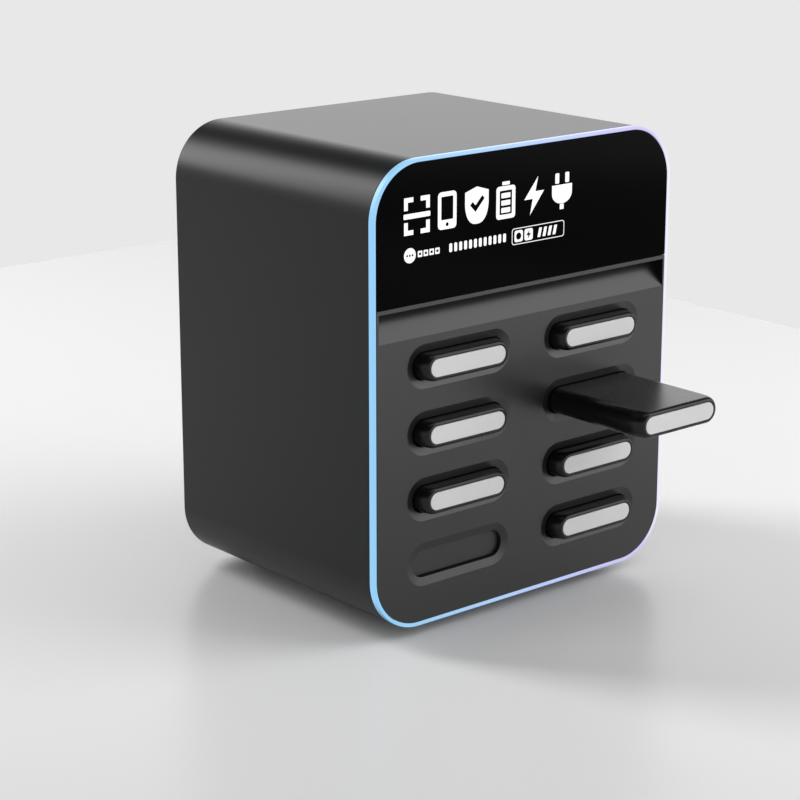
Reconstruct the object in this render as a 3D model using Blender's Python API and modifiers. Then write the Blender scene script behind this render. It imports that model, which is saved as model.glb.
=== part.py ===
"""Phone charging kiosk: a desktop cabinet that lends out power banks from eight slots.

The machine's own frame has x to the right of someone who faces its slots, y towards its back from the
front plane, and z up from the cabinet's underside. The empty MACHINE carries that frame, so that the
whole object stands on z = 0 with its box centred on x and y.
Run it with: blender --background --python part.py
"""

import math

import bmesh
import bpy
from mathutils import Matrix, Vector

MM = 0.001
GAP = 0.3 * MM  # between neighbouring pieces that touch on the real object

# Cabinet
CABINET_WIDTH = 214.4 * MM
CABINET_HEIGHT = 250.0 * MM
CABINET_DEPTH = 169.3 * MM
CORNER_RADIUS = 30.7 * MM
SHELL_WALL = 2.6 * MM
FOOT_HEIGHT = 5.5 * MM

# Light ring, and the light strip behind its skirt
RING_FACE = 1.9 * MM
RING_DEPTH = 3.5 * MM
SKIRT_WALL = 0.8 * MM
SKIRT_DEPTH = 3.5 * MM
STRIP_WALL = 1.2 * MM
STRIP_DEPTH = 1.0 * MM

# Front panel
PANEL_WALL = 3.2 * MM
GROOVE_LOW = 157.7 * MM  # crease where the face turns back under the display
GROOVE_TOP = 173.0 * MM
GROOVE_DEPTH = 9.6 * MM
CHEEK_WALL = 1.4 * MM
CHIN_HEIGHT = 2.15 * MM
GLASS_THICKNESS = 2.0 * MM
GLASS_FRAME_WALL = 2.5 * MM
WINDOW_SIDE_MARGIN = 15.2 * MM  # from the cabinet's side to the display's window
WINDOW_MARGIN = 9.2 * MM  # above and below the window, behind the glass
DISPLAY_THICKNESS = 4.0 * MM
DISPLAY_BORDER = 2.0 * MM

# Slots
COLUMN_X = 48.5 * MM
LOWEST_ROW = 33.8 * MM
ROW_PITCH = 35.93 * MM
ROWS = 4
BEZEL_SPREAD = 4.45 * MM  # how much wider the bevel is than the opening, all round
BEZEL_DEPTH = 1.0 * MM

# Power bank
BANK_LENGTH = 137.3 * MM
BANK_WIDTH = 61.8 * MM
BANK_THICKNESS = 14.4 * MM
BANK_PROUD = 7.2 * MM  # how far a seated bank stands out of the front plane
BANK_PULLED = 60.0 * MM  # how far the half-drawn bank has come out
NOSE_TAPER_WIDTH = 4.0 * MM  # side rounding of the nose, in plan
NOSE_TAPER_HEIGHT = 1.8 * MM
NOSE_THINNING_PACE = 4.0  # how much sooner the height is full than the width
TAPER_LENGTH = 10.0 * MM  # at each end
SIDE_FLAT = 0.6 * MM  # straight stretch up each side of the section
TAIL_TAPER_WIDTH = 8.0 * MM
TAIL_TAPER_HEIGHT = 2.6 * MM
TAIL_THINNING_PACE = 1.8
END_PLATE_SIDE_MARGIN = 4.9 * MM
END_PLATE_MARGIN = 2.4 * MM
END_PLATE_THICKNESS = 1.2 * MM
BUTTON_FROM_TAIL = 26.0 * MM
BUTTON_LENGTH = 8.4 * MM
BUTTON_HEIGHT = 4.8 * MM
BUTTON_THICKNESS = 1.4 * MM
BUTTON_TRAVEL = 0.8 * MM
BUTTON_SUNK = 0.2 * MM
WINDOW_FROM_TAIL = 16.7 * MM
WINDOW_LENGTH = 4.7 * MM
WINDOW_HEIGHT = 4.2 * MM
WINDOW_DEPTH = 1.6 * MM

# Slot bin and its flap
RIM_CLEARANCE = 0.75 * MM  # round a bank at the panel's opening, across its width
RIM_HEIGHT_CLEARANCE = 0.325 * MM
BIN_SIDE_CLEARANCE = 0.8 * MM
BIN_FLOOR_CLEARANCE = 0.4 * MM
BIN_ROOF_CLEARANCE = 0.5 * MM
BIN_PAST_BANK = 1.9 * MM  # from a seated bank's tail to the bin's open back
BIN_WALL = 1.5 * MM
FLAP_THICKNESS = 1.2 * MM
FLAP_SETBACK = 1.5 * MM  # from the hinge axis to the flap's face
FLAP_LIFT = 0.7 * MM  # between an open flap and the bank under it
PIN_RADIUS = 0.9 * MM
PIN_CLEARANCE = 0.3 * MM
FLAP_ROOM = 2.0 * MM

# Rack, charging boards and the electronics above the bins
RACK_WALL = 1.5 * MM
RACK_FROM_FRONT = 108.0 * MM
RACK_MARGIN = 8.0 * MM
BOARD_THICKNESS = 1.6 * MM
BOARD_WIDTH = 60.0 * MM
BOARD_BELOW = 14.0 * MM  # how far a charging board reaches below its lowest slot's centre
BOARD_ABOVE = 12.0 * MM
CONTACT_WIDTH = 20.0 * MM
CONTACT_HEIGHT = 8.0 * MM
CONTACT_GAP = 0.5 * MM
CONTACT_LENGTH = 3.0 * MM
SHELF_ABOVE_BINS = 2.7 * MM
SHELF_FROM_PANEL = 3.4 * MM
SHELF_FROM_FAN = 3.0 * MM
SHELF_WALL = 1.5 * MM
SHELF_FLANGE = 8.0 * MM
SHELF_SIDE_CLEARANCE = 9.6 * MM
SUPPLY_SIZE = Vector((98.0, 92.0, 38.0)) * MM
MAIN_BOARD_SIZE = Vector((76.0, 92.0, 1.6)) * MM
SUPPLY_FROM_FLANGE = 4.0 * MM
BOARD_FROM_FLANGE = 3.0 * MM
LOAD_FROM_EDGE = 10.0 * MM  # from the shelf's front edge to what stands on it
BOARD_STANDOFF = 4.0 * MM
BASE_PLATE_FROM_PANEL = 8.0 * MM
BASE_PLATE_LENGTH = 140.0 * MM
BASE_PLATE_WALL = 3.0 * MM
BASE_PLATE_SIDE = 1.0 * MM  # in from where the shell's corners begin

# Rear
REAR_RECESS = 4.0 * MM
COVER_WALL = 2.5 * MM
FAN_SIZE = 60.0 * MM
FAN_DEPTH = 15.0 * MM
FAN_BORE = 27.5 * MM
FAN_HUB = 11.0 * MM
FAN_STUB = 2.0 * MM
FAN_BLADES = 7
FAN_BLADE_PITCH = 52.0  # degrees
FAN_TIP_CLEARANCE = 1.2 * MM
FAN_FROM_SIDE = 55.2 * MM
FAN_FROM_TOP = 44.0 * MM
GRILLE_SLOT = 3.0 * MM
GRILLE_BAR = 2.4 * MM
VENT_WIDTH = 70.0 * MM
VENT_ROWS = 7
VENT_FROM_SIDE = 61.2 * MM
SPEAKER_RADIUS = 14.0 * MM
SPEAKER_DEPTH = 14.0 * MM
SPEAKER_Z = 92.0 * MM
SPEAKER_SLOTS = 5
SPEAKER_PITCH = 4.8 * MM
INLET_FROM_SIDE = 43.2 * MM
INLET_Z = 48.0 * MM
INLET_WIDTH = 27.0 * MM
INLET_HEIGHT = 47.0 * MM
INLET_FLANGE = 3.0 * MM
INLET_FLANGE_WALL = 1.8 * MM
INLET_LENGTH = 24.0 * MM
SOCKET_WIDTH = 24.0 * MM
SOCKET_HEIGHT = 16.5 * MM
SOCKET_DEPTH = 15.0 * MM
SOCKET_BELOW = 10.5 * MM
ROCKER_WIDTH = 13.0 * MM
ROCKER_HEIGHT = 18.0 * MM
ROCKER_CLEARANCE = 0.6 * MM
ROCKER_ABOVE = 12.0 * MM
ROCKER_TILT = 8.0  # degrees each way from the middle
ROCKER_BODY = 4.0 * MM
ROCKER_WELL = 8.0 * MM

# Feet
FOOT_RADIUS = 9.0 * MM
FOOT_SIDE = 1.0 * MM  # in from where the shell's corners begin
FOOT_FROM_END = 27.0 * MM

# How finely round shapes are cut
CORNER_STEPS = 8
PILL_STEPS = 8
ROUND_SIDES = 24

EMPTY_SLOT = ("left", 4)
PULLED_SLOT = ("right", 2)

# Sizes that follow from the ones above
HALF_WIDTH = CABINET_WIDTH / 2
FRONT_INSET = RING_FACE + GAP
BANK_TAIL = BANK_LENGTH - BANK_PROUD
OPENING_WIDTH = BANK_WIDTH + 2 * RIM_CLEARANCE
OPENING_HEIGHT = BANK_THICKNESS + 2 * RIM_HEIGHT_CLEARANCE
BEZEL_WIDTH = OPENING_WIDTH + 2 * BEZEL_SPREAD
BEZEL_HEIGHT = OPENING_HEIGHT + 2 * BEZEL_SPREAD
END_PLATE_WIDTH = BANK_WIDTH - 2 * END_PLATE_SIDE_MARGIN
END_PLATE_HEIGHT = BANK_THICKNESS - 2 * END_PLATE_MARGIN
BIN_HALF_WIDTH = BANK_WIDTH / 2 + BIN_SIDE_CLEARANCE
BIN_FLOOR = -BANK_THICKNESS / 2 - BIN_FLOOR_CLEARANCE
BIN_ROOF = BANK_THICKNESS / 2 + BIN_ROOF_CLEARANCE
BIN_FRONT = PANEL_WALL + GAP
BIN_BACK = BANK_TAIL + BIN_PAST_BANK
FLAP_FACE = BIN_FRONT
HINGE_Y = FLAP_FACE + FLAP_SETBACK
HINGE_Z = BANK_THICKNESS / 2 + FLAP_LIFT + FLAP_SETBACK
KNUCKLE_RADIUS = FLAP_SETBACK
FLAP_REACH = math.sqrt((HINGE_Z - BIN_FLOOR - GAP) ** 2 - FLAP_SETBACK**2)
FLAP_HELD = math.degrees(math.acos((FLAP_LIFT - GAP) / FLAP_REACH))  # open, on top of a bank
FLAP_HALF_WIDTH = BIN_HALF_WIDTH - GAP
CHAMBER_ROOF = HINGE_Z + FLAP_ROOM
CHAMBER_BACK = HINGE_Y + FLAP_REACH + FLAP_ROOM
BOARD_FRONT = BANK_TAIL + CONTACT_GAP + CONTACT_LENGTH
TOP_ROW = LOWEST_ROW + (ROWS - 1) * ROW_PITCH
SHELF_LOW = TOP_ROW + CHAMBER_ROOF + BIN_WALL + SHELF_ABOVE_BINS
SHELF_FRONT = GROOVE_DEPTH + PANEL_WALL + SHELF_FROM_PANEL
COVER_BACK = CABINET_DEPTH - REAR_RECESS
COVER_FRONT = COVER_BACK - COVER_WALL
SHELF_BACK = COVER_FRONT - FAN_DEPTH - SHELF_FROM_FAN
GLASS_LOW = GROOVE_TOP + CHIN_HEIGHT + GAP
GLASS_HIGH = CABINET_HEIGHT - FRONT_INSET
DISPLAY_Z = (GLASS_LOW + GLASS_HIGH) / 2
DISPLAY_WIDTH = CABINET_WIDTH - 2 * WINDOW_SIDE_MARGIN
DISPLAY_HEIGHT = GLASS_HIGH - GLASS_LOW - 2 * WINDOW_MARGIN
FRAME_BACK = GLASS_THICKNESS + GAP + GLASS_FRAME_WALL
BASE_PLATE_LOW = SHELL_WALL + GAP
BASE_PLATE_HALF = HALF_WIDTH - CORNER_RADIUS - BASE_PLATE_SIDE
SHELF_WIDTH = CABINET_WIDTH - 2 * (SHELL_WALL + SHELF_SIDE_CLEARANCE)
FAN_X = FAN_FROM_SIDE - HALF_WIDTH
FAN_Z = CABINET_HEIGHT - FAN_FROM_TOP
VENT_X = HALF_WIDTH - VENT_FROM_SIDE
INLET_X = INLET_FROM_SIDE - HALF_WIDTH
FOOT_X = HALF_WIDTH - CORNER_RADIUS - FOOT_RADIUS - FOOT_SIDE

MACHINE_MIDDLE = (CABINET_DEPTH - BANK_PROUD - BANK_PULLED) / 2


def linear(value):
    """One sRGB channel, 0 to 255, as the linear value that a shader takes."""
    share = value / 255
    return share / 12.92 if share <= 0.04045 else ((share + 0.055) / 1.055) ** 2.4


def material(name, red, green, blue, roughness, metallic=0.0, glow=0.0):
    made = bpy.data.materials.new(name)
    made.use_nodes = True
    shader = made.node_tree.nodes["Principled BSDF"]
    colour = (linear(red), linear(green), linear(blue), 1.0)
    shader.inputs["Base Color"].default_value = colour
    shader.inputs["Roughness"].default_value = roughness
    shader.inputs["Metallic"].default_value = metallic
    shader.inputs["Emission Color"].default_value = colour
    shader.inputs["Emission Strength"].default_value = glow
    made.diffuse_color = colour
    return made


def baked(obj):
    """The object's mesh as Blender shows it, in the machine's frame and welded; the object goes."""
    bpy.context.view_layer.update()
    graph = bpy.context.evaluated_depsgraph_get()
    mesh = bpy.data.meshes.new_from_object(obj.evaluated_get(graph), depsgraph=graph)
    mesh.transform(obj.matrix_world)
    bpy.data.objects.remove(obj)
    shape = bmesh.new()
    shape.from_mesh(mesh)
    bmesh.ops.remove_doubles(shape, verts=shape.verts, dist=0.001 * MM)
    bmesh.ops.recalc_face_normals(shape, faces=shape.faces)
    shape.to_mesh(mesh)
    shape.free()
    return mesh


def wrapped(mesh):
    """A working object round a mesh."""
    obj = bpy.data.objects.new("shape", mesh)
    bpy.context.scene.collection.objects.link(obj)
    return obj


def combined(mesh, operation, *tools):
    """The mesh after a Boolean with each tool mesh in turn."""
    for tool_mesh in tools:
        target = wrapped(mesh)
        tool = wrapped(tool_mesh)
        step = target.modifiers.new(operation.lower(), "BOOLEAN")
        step.operation = operation
        step.object = tool
        mesh = baked(target)
        bpy.data.objects.remove(tool)
    return mesh


def block(low, high):
    """A box between two corners."""
    low, high = Vector(low), Vector(high)
    bpy.ops.mesh.primitive_cube_add(size=1, location=(low + high) / 2, scale=high - low)
    return baked(bpy.context.object)


def rod(start, end, radius, sides=ROUND_SIDES):
    """A cylinder between two points."""
    start, end = Vector(start), Vector(end)
    along = end - start
    bpy.ops.mesh.primitive_cylinder_add(
        vertices=sides,
        radius=radius,
        depth=along.length,
        location=(start + end) / 2,
        rotation=along.to_track_quat("Z", "Y").to_euler(),
    )
    return baked(bpy.context.object)


def turned(profile, centre, facing_back=False):
    """A profile of (radius, height) points, top first, turned about z, or about y with its top at the back."""
    mesh = bpy.data.meshes.new("profile")
    points = [(radius, 0, height) for radius, height in profile]
    mesh.from_pydata(points, [(i, i + 1) for i in range(len(points) - 1)], [])
    obj = wrapped(mesh)
    screw = obj.modifiers.new("turn", "SCREW")
    screw.steps = ROUND_SIDES
    screw.render_steps = ROUND_SIDES
    screw.use_merge_vertices = True
    screw.merge_threshold = 0.00001
    if facing_back:
        obj.rotation_euler.x = -math.pi / 2
    obj.location = centre
    return baked(obj)


def rounded_rectangle(width, height, radius, centre=(0, 0), steps=CORNER_STEPS):
    """Its outline, counter-clockwise, with each corner an arc."""
    points = []
    for corner in range(4):
        across = 1 if corner in (0, 3) else -1
        up = 1 if corner < 2 else -1
        middle_x = centre[0] + across * (width / 2 - radius)
        middle_z = centre[1] + up * (height / 2 - radius)
        for step in range(steps + 1):
            angle = math.pi / 2 * (corner + step / steps)
            point = (middle_x + radius * math.cos(angle), middle_z + radius * math.sin(angle))
            if not points or math.dist(point, points[-1]) > 0.01 * MM:
                points.append(point)
    return points


def pill(width, height, centre=(0, 0), steps=PILL_STEPS):
    return rounded_rectangle(width, height, height / 2 - 0.001 * MM, centre, steps // 2)


def cabinet_outline(inset):
    """The cabinet's rounded outline, drawn in by inset."""
    width = CABINET_WIDTH - 2 * inset
    height = CABINET_HEIGHT - 2 * inset
    return rounded_rectangle(width, height, CORNER_RADIUS - inset, (0, CABINET_HEIGHT / 2))


def flat_shape(loops, turn, middle, thickness):
    """Flat outlines, the first one solid and the others its holes, given thickness and turned into place."""
    curve = bpy.data.curves.new("outline", "CURVE")
    curve.dimensions = "2D"
    curve.fill_mode = "BOTH"
    curve.extrude = thickness / 2
    for loop in loops:
        spline = curve.splines.new("POLY")
        spline.points.add(len(loop) - 1)
        for point, (across, up) in zip(spline.points, loop):
            point.co = (across, up, 0, 1)
        spline.use_cyclic_u = True
    obj = bpy.data.objects.new("outline", curve)
    bpy.context.scene.collection.objects.link(obj)
    obj.matrix_world = Matrix.Translation(middle) @ turn.to_4x4()
    return baked(obj)


def facing(loops, front, back):
    """Outlines in x and z, as seen from the front, made solid from y = front to y = back."""
    turn = Matrix(((1, 0, 0), (0, 0, -1), (0, 1, 0)))
    return flat_shape(loops, turn, Vector((0, (front + back) / 2, 0)), back - front)


def sideways(outline, left, right):
    """An outline in y and z made solid from x = left to x = right."""
    turn = Matrix(((0, 0, 1), (1, 0, 0), (0, 1, 0)))
    return flat_shape([outline], turn, Vector(((left + right) / 2, 0, 0)), right - left)


def loft(sections):
    """A solid through sections of (y, outline in x and z), with as many points in each outline."""
    shape = bmesh.new()
    rings = [[shape.verts.new((x, y, z)) for x, z in outline] for y, outline in sections]
    count = len(rings[0])
    for near, far in zip(rings, rings[1:]):
        for i in range(count):
            j = (i + 1) % count
            shape.faces.new((near[i], near[j], far[j], far[i]))
    shape.faces.new(rings[0])
    shape.faces.new(rings[-1])
    bmesh.ops.recalc_face_normals(shape, faces=shape.faces)
    mesh = bpy.data.meshes.new("loft")
    shape.to_mesh(mesh)
    shape.free()
    return mesh


def finished(mesh, finish, origin=(0, 0, 0)):
    """The mesh in its material and shaded smooth, with its zero moved to the origin given."""
    mesh.transform(Matrix.Translation(-Vector(origin)))
    mesh.materials.clear()
    mesh.materials.append(finish)
    mesh.shade_smooth()
    mesh.set_sharp_from_angle(angle=math.radians(30))
    return mesh


def copy_of(mesh, name, origin=(0, 0, 0), parent=None):
    """A named piece that shows a finished mesh, which other pieces may share, at this origin."""
    obj = bpy.data.objects.new(name, mesh)
    PIECES.objects.link(obj)
    obj.parent = parent or MACHINE
    obj.location = Vector(origin)
    return obj


def place(name, mesh, finish, origin=(0, 0, 0)):
    """Makes the named piece, with its own origin, from a mesh drawn in the machine's frame."""
    mesh.name = name
    return copy_of(finished(mesh, finish, origin), name, origin)


def slots():
    """Each slot's column, row number from the top, and centre in x and z."""
    for column, side in (("left", -1), ("right", 1)):
        for row in range(1, ROWS + 1):
            yield column, row, side * COLUMN_X, TOP_ROW - (row - 1) * ROW_PITCH


# ---- cabinet ----


def make_shell():
    """A sleeve with rounded corners, rebated in front for the light ring's skirt and the light strip."""
    front = RING_DEPTH + GAP
    shell = facing([cabinet_outline(0), cabinet_outline(SHELL_WALL)], front, CABINET_DEPTH)
    rebate_back = RING_DEPTH + SKIRT_DEPTH + STRIP_DEPTH + 2 * GAP
    rebate_outer = cabinet_outline(RING_FACE - SKIRT_WALL - GAP)
    rebate_inner = cabinet_outline(SHELL_WALL + 1 * MM)
    rebate = facing([rebate_outer, rebate_inner], front - 1 * MM, rebate_back)
    place("shell", combined(shell, "DIFFERENCE", rebate), BLACK_SATIN)


def make_light_ring():
    """A light guide: a narrow face in front, and a thin skirt that reaches back into the shell."""
    skirt_back = RING_DEPTH + SKIRT_DEPTH
    ring = facing([cabinet_outline(0), cabinet_outline(RING_FACE)], 0, skirt_back)
    around = [cabinet_outline(-2 * MM), cabinet_outline(RING_FACE - SKIRT_WALL)]
    outside = facing(around, RING_DEPTH, skirt_back + 1 * MM)
    place("light_ring", combined(ring, "DIFFERENCE", outside), LIGHT_GUIDE)


def make_led_strip():
    """The strip of lamps that lights the edge of the ring's skirt."""
    outer = RING_FACE - SKIRT_WALL
    front = RING_DEPTH + SKIRT_DEPTH + GAP
    strip = facing([cabinet_outline(outer), cabinet_outline(outer + STRIP_WALL)], front, front + STRIP_DEPTH)
    place("led_strip", strip, CIRCUIT)


def panel_section():
    """The front panel's section in y and z: slot wall, groove under the display, chin and glass frame."""
    low = -10 * MM
    high = CABINET_HEIGHT + 10 * MM
    glass_back = GLASS_THICKNESS + GAP
    slope = GROOVE_DEPTH / (GROOVE_TOP - GROOVE_LOW)
    inner_crease = GROOVE_LOW - PANEL_WALL * (math.sqrt(1 + slope**2) - 1) / slope
    inner_back = GROOVE_DEPTH + PANEL_WALL
    inner_corner = inner_crease + (inner_back - PANEL_WALL) / slope
    ledge = GROOVE_TOP + 2.8 * MM
    return [
        (0, low),
        (0, GROOVE_TOP + CHIN_HEIGHT),
        (glass_back, GROOVE_TOP + CHIN_HEIGHT),
        (glass_back, high),
        (FRAME_BACK, high),
        (FRAME_BACK, ledge),
        (inner_back, ledge),
        (inner_back, inner_corner),
        (PANEL_WALL, inner_crease),
        (PANEL_WALL, low),
    ]


def groove_cutter():
    """The wedge under the display, as wide as the panel inside its two cheeks."""
    slope = (GROOVE_TOP - GROOVE_LOW) / GROOVE_DEPTH
    ahead = 2 * MM
    wedge = [(-ahead, GROOVE_LOW - ahead * slope), (GROOVE_DEPTH, GROOVE_TOP), (-ahead, GROOVE_TOP)]
    half = HALF_WIDTH - FRONT_INSET - CHEEK_WALL
    return sideways(wedge, -half, half)


def slot_cutter(x, z):
    """The pill-shaped opening with its shallow bevelled bezel."""
    ahead = 0.5 * MM
    spread = (BEZEL_WIDTH - OPENING_WIDTH) * ahead / BEZEL_DEPTH
    sections = [
        (-ahead, pill(BEZEL_WIDTH + spread, BEZEL_HEIGHT + spread, (x, z))),
        (BEZEL_DEPTH, pill(OPENING_WIDTH, OPENING_HEIGHT, (x, z))),
        (PANEL_WALL + 1 * MM, pill(OPENING_WIDTH, OPENING_HEIGHT, (x, z))),
    ]
    return loft(sections)


def make_front_panel():
    half = HALF_WIDTH + 5 * MM
    deep = GROOVE_DEPTH + PANEL_WALL + 5 * MM
    panel = sideways(panel_section(), -half, half)
    panel = combined(panel, "INTERSECT", facing([cabinet_outline(FRONT_INSET)], -1 * MM, deep))
    inside_shell = SHELL_WALL + GAP
    edge = facing([cabinet_outline(-8 * MM), cabinet_outline(inside_shell)], PANEL_WALL, deep)
    window = rounded_rectangle(DISPLAY_WIDTH, DISPLAY_HEIGHT, 2 * MM, (0, DISPLAY_Z), 2)
    window = facing([window], 0, FRAME_BACK + 1 * MM)
    rim = facing([cabinet_outline(WINDOW_MARGIN)], -1 * MM, FRAME_BACK + 2 * MM)
    cuts = [edge, groove_cutter(), combined(window, "INTERSECT", rim)]
    cuts += [slot_cutter(x, z) for _, _, x, z in slots()]
    place("front_panel", combined(panel, "DIFFERENCE", *cuts), PANEL_GREY)


def make_display():
    """The dark glass, and the lit display behind the window in its frame."""
    half = HALF_WIDTH + 5 * MM
    glass = block((-half, 0, GLASS_LOW), (half, GLASS_THICKNESS, CABINET_HEIGHT))
    outline = facing([cabinet_outline(FRONT_INSET)], -1 * MM, GLASS_THICKNESS + 1 * MM)
    place("display_glass", combined(glass, "INTERSECT", outline), GLASS_BLACK)
    front = FRAME_BACK + GAP
    half_width = DISPLAY_WIDTH / 2 + DISPLAY_BORDER
    half_height = DISPLAY_HEIGHT / 2 + DISPLAY_BORDER
    low = (-half_width, front, DISPLAY_Z - half_height)
    high = (half_width, front + DISPLAY_THICKNESS, DISPLAY_Z + half_height)
    inside = facing([cabinet_outline(SHELL_WALL + 1 * MM)], 0, front + 2 * DISPLAY_THICKNESS)
    place("display_module", combined(block(low, high), "INTERSECT", inside), CIRCUIT)


# ---- slots ----


def bin_mesh():
    """One slot's bin about its centre: a duct, taller in front for the flap, with holes for the flap's pins."""

    def outline(front, back, wall):
        roof, chamber = BIN_ROOF + wall, CHAMBER_ROOF + wall
        step = CHAMBER_BACK + wall
        floor = BIN_FLOOR - wall
        return [(front, floor), (back, floor), (back, roof), (step, roof), (step, chamber), (front, chamber)]

    outer_half = BIN_HALF_WIDTH + BIN_WALL
    duct = sideways(outline(BIN_FRONT, BIN_BACK, BIN_WALL), -outer_half, outer_half)
    ahead = 1 * MM
    hollow = sideways(outline(BIN_FRONT - ahead, BIN_BACK + ahead, 0), -BIN_HALF_WIDTH, BIN_HALF_WIDTH)
    reach = outer_half + ahead
    hole = rod((-reach, HINGE_Y, HINGE_Z), (reach, HINGE_Y, HINGE_Z), PIN_RADIUS + PIN_CLEARANCE, 12)
    return combined(duct, "DIFFERENCE", hollow, hole)


def flap_mesh():
    """One flap about its hinge, hanging shut: a knuckle along the top of a plate, with a pin at each end."""
    low = HINGE_Z - FLAP_REACH
    knuckle = []
    for step in range(7):
        angle = math.pi * step / 6
        back = KNUCKLE_RADIUS * math.cos(angle)
        up = KNUCKLE_RADIUS * math.sin(angle)
        knuckle.append((HINGE_Y + back, HINGE_Z + up))
    plate_back = FLAP_FACE + FLAP_THICKNESS
    foot = 0.4 * MM
    plate_top = HINGE_Z - KNUCKLE_RADIUS - 0.1 * MM
    plate = [(FLAP_FACE, low + foot), (FLAP_FACE + foot, low), (plate_back, low), (plate_back, plate_top)]
    body = sideways(knuckle + plate, -FLAP_HALF_WIDTH, FLAP_HALF_WIDTH)
    reach = BIN_HALF_WIDTH + BIN_WALL - GAP
    pins = rod((-reach, HINGE_Y, HINGE_Z), (reach, HINGE_Y, HINGE_Z), PIN_RADIUS, 12)
    return combined(body, "UNION", pins)


def make_bins_and_flaps():
    bin_shape = finished(bin_mesh(), BIN_BLACK)
    flap_shape = finished(flap_mesh(), FLAP_BLACK, (0, HINGE_Y, HINGE_Z))
    for column, row, x, z in slots():
        copy_of(bin_shape, f"slot_bin_{column}_{row}", (x, 0, z))
        flap = copy_of(flap_shape, f"slot_flap_{column}_{row}", (x, HINGE_Y, z + HINGE_Z))
        if (column, row) != EMPTY_SLOT:
            flap.rotation_euler.x = math.radians(FLAP_HELD)


# ---- power banks ----


def quarter_round(share):
    """How far a quarter circle has risen at this share of its run."""
    return math.sqrt(max(0, 1 - (1 - min(1, share)) ** 2))


def bank_end(end, inward, narrowing, thinning, pace):
    """Pill sections from a bank's end to its full size: the sides round off over the whole taper."""
    sections = []
    for share in (0, 0.04, 0.16, 0.4, 1):
        width = BANK_WIDTH - 2 * narrowing * (1 - quarter_round(share))
        height = BANK_THICKNESS - 2 * thinning * (1 - quarter_round(pace * share))
        outline = rounded_rectangle(width, height, height / 2 - SIDE_FLAT / 2, (0, 0), PILL_STEPS // 2)
        sections.append((end + inward * TAPER_LENGTH * share, outline))
    return sections


def casing_mesh():
    """A bank's casing, nose first: a rounded bar, recessed for its end plate, button and window."""
    nose = bank_end(-BANK_PROUD, 1, NOSE_TAPER_WIDTH, NOSE_TAPER_HEIGHT, NOSE_THINNING_PACE)
    tail = bank_end(BANK_TAIL, -1, TAIL_TAPER_WIDTH, TAIL_TAPER_HEIGHT, TAIL_THINNING_PACE)
    casing = loft(nose + tail[::-1])
    recess = pill(END_PLATE_WIDTH + 2 * GAP, END_PLATE_HEIGHT + 2 * GAP)
    plate_room = facing([recess], -BANK_PROUD - 1 * MM, -BANK_PROUD + END_PLATE_THICKNESS + GAP)
    side = -BANK_WIDTH / 2
    button_floor = side + BUTTON_SUNK + BUTTON_THICKNESS + BUTTON_TRAVEL + GAP
    button_y = BANK_TAIL - BUTTON_FROM_TAIL
    well = rounded_rectangle(
        BUTTON_LENGTH + 2 * GAP, BUTTON_HEIGHT + 2 * GAP, BUTTON_HEIGHT / 2, (button_y, 0), PILL_STEPS // 2
    )
    button_room = sideways(well, side - 1 * MM, button_floor)
    window_y = BANK_TAIL - WINDOW_FROM_TAIL
    window = block(
        (side - 1 * MM, window_y - WINDOW_LENGTH / 2, -WINDOW_HEIGHT / 2),
        (side + WINDOW_DEPTH, window_y + WINDOW_LENGTH / 2, WINDOW_HEIGHT / 2),
    )
    return combined(casing, "DIFFERENCE", plate_room, button_room, window)


def button_mesh():
    button_y = BANK_TAIL - BUTTON_FROM_TAIL
    face = -BANK_WIDTH / 2 + BUTTON_SUNK
    outline = rounded_rectangle(
        BUTTON_LENGTH, BUTTON_HEIGHT, BUTTON_HEIGHT / 2 - 0.1 * MM, (button_y, 0), PILL_STEPS // 2
    )
    return sideways(outline, face, face + BUTTON_THICKNESS)


def make_banks():
    casing = finished(casing_mesh(), BANK_BLACK)
    plate_outline = pill(END_PLATE_WIDTH, END_PLATE_HEIGHT)
    plate = finished(facing([plate_outline], -BANK_PROUD, END_PLATE_THICKNESS - BANK_PROUD), PLATE_GREY)
    button = finished(button_mesh(), BANK_BLACK)
    for column, row, x, z in slots():
        if (column, row) == EMPTY_SLOT:
            continue
        out = BANK_PULLED if (column, row) == PULLED_SLOT else 0
        holder = bpy.data.objects.new(f"power_bank_{column}_{row}", None)
        PIECES.objects.link(holder)
        holder.parent = MACHINE
        holder.location = (x, -out, z)
        copy_of(casing, f"pack_casing_{column}_{row}", parent=holder)
        copy_of(plate, f"pack_end_plate_{column}_{row}", parent=holder)
        copy_of(button, f"pack_button_{column}_{row}", parent=holder)


# ---- inside ----


def make_rack():
    """A steel plate on the base that carries the bins near their back ends."""
    half_width = COLUMN_X + BIN_HALF_WIDTH + BIN_WALL + RACK_MARGIN
    low = BASE_PLATE_LOW + BASE_PLATE_WALL + GAP
    high = SHELF_LOW - GAP
    outline = rounded_rectangle(2 * half_width, high - low, 2 * MM, (0, (low + high) / 2), 2)
    hole_width = 2 * (BIN_HALF_WIDTH + BIN_WALL + GAP)
    hole_low = BIN_FLOOR - BIN_WALL - GAP
    hole_high = BIN_ROOF + BIN_WALL + GAP
    middle = (hole_low + hole_high) / 2
    holes = [
        rounded_rectangle(hole_width, hole_high - hole_low, 0.2 * MM, (x, z + middle), 1)
        for _, _, x, z in slots()
    ]
    back = RACK_FROM_FRONT + RACK_WALL
    inside = facing([cabinet_outline(SHELL_WALL + GAP)], RACK_FROM_FRONT - 1 * MM, back + 1 * MM)
    plate = facing([outline, *holes], RACK_FROM_FRONT, back)
    place("rack_plate", combined(plate, "INTERSECT", inside), STEEL)


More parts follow.
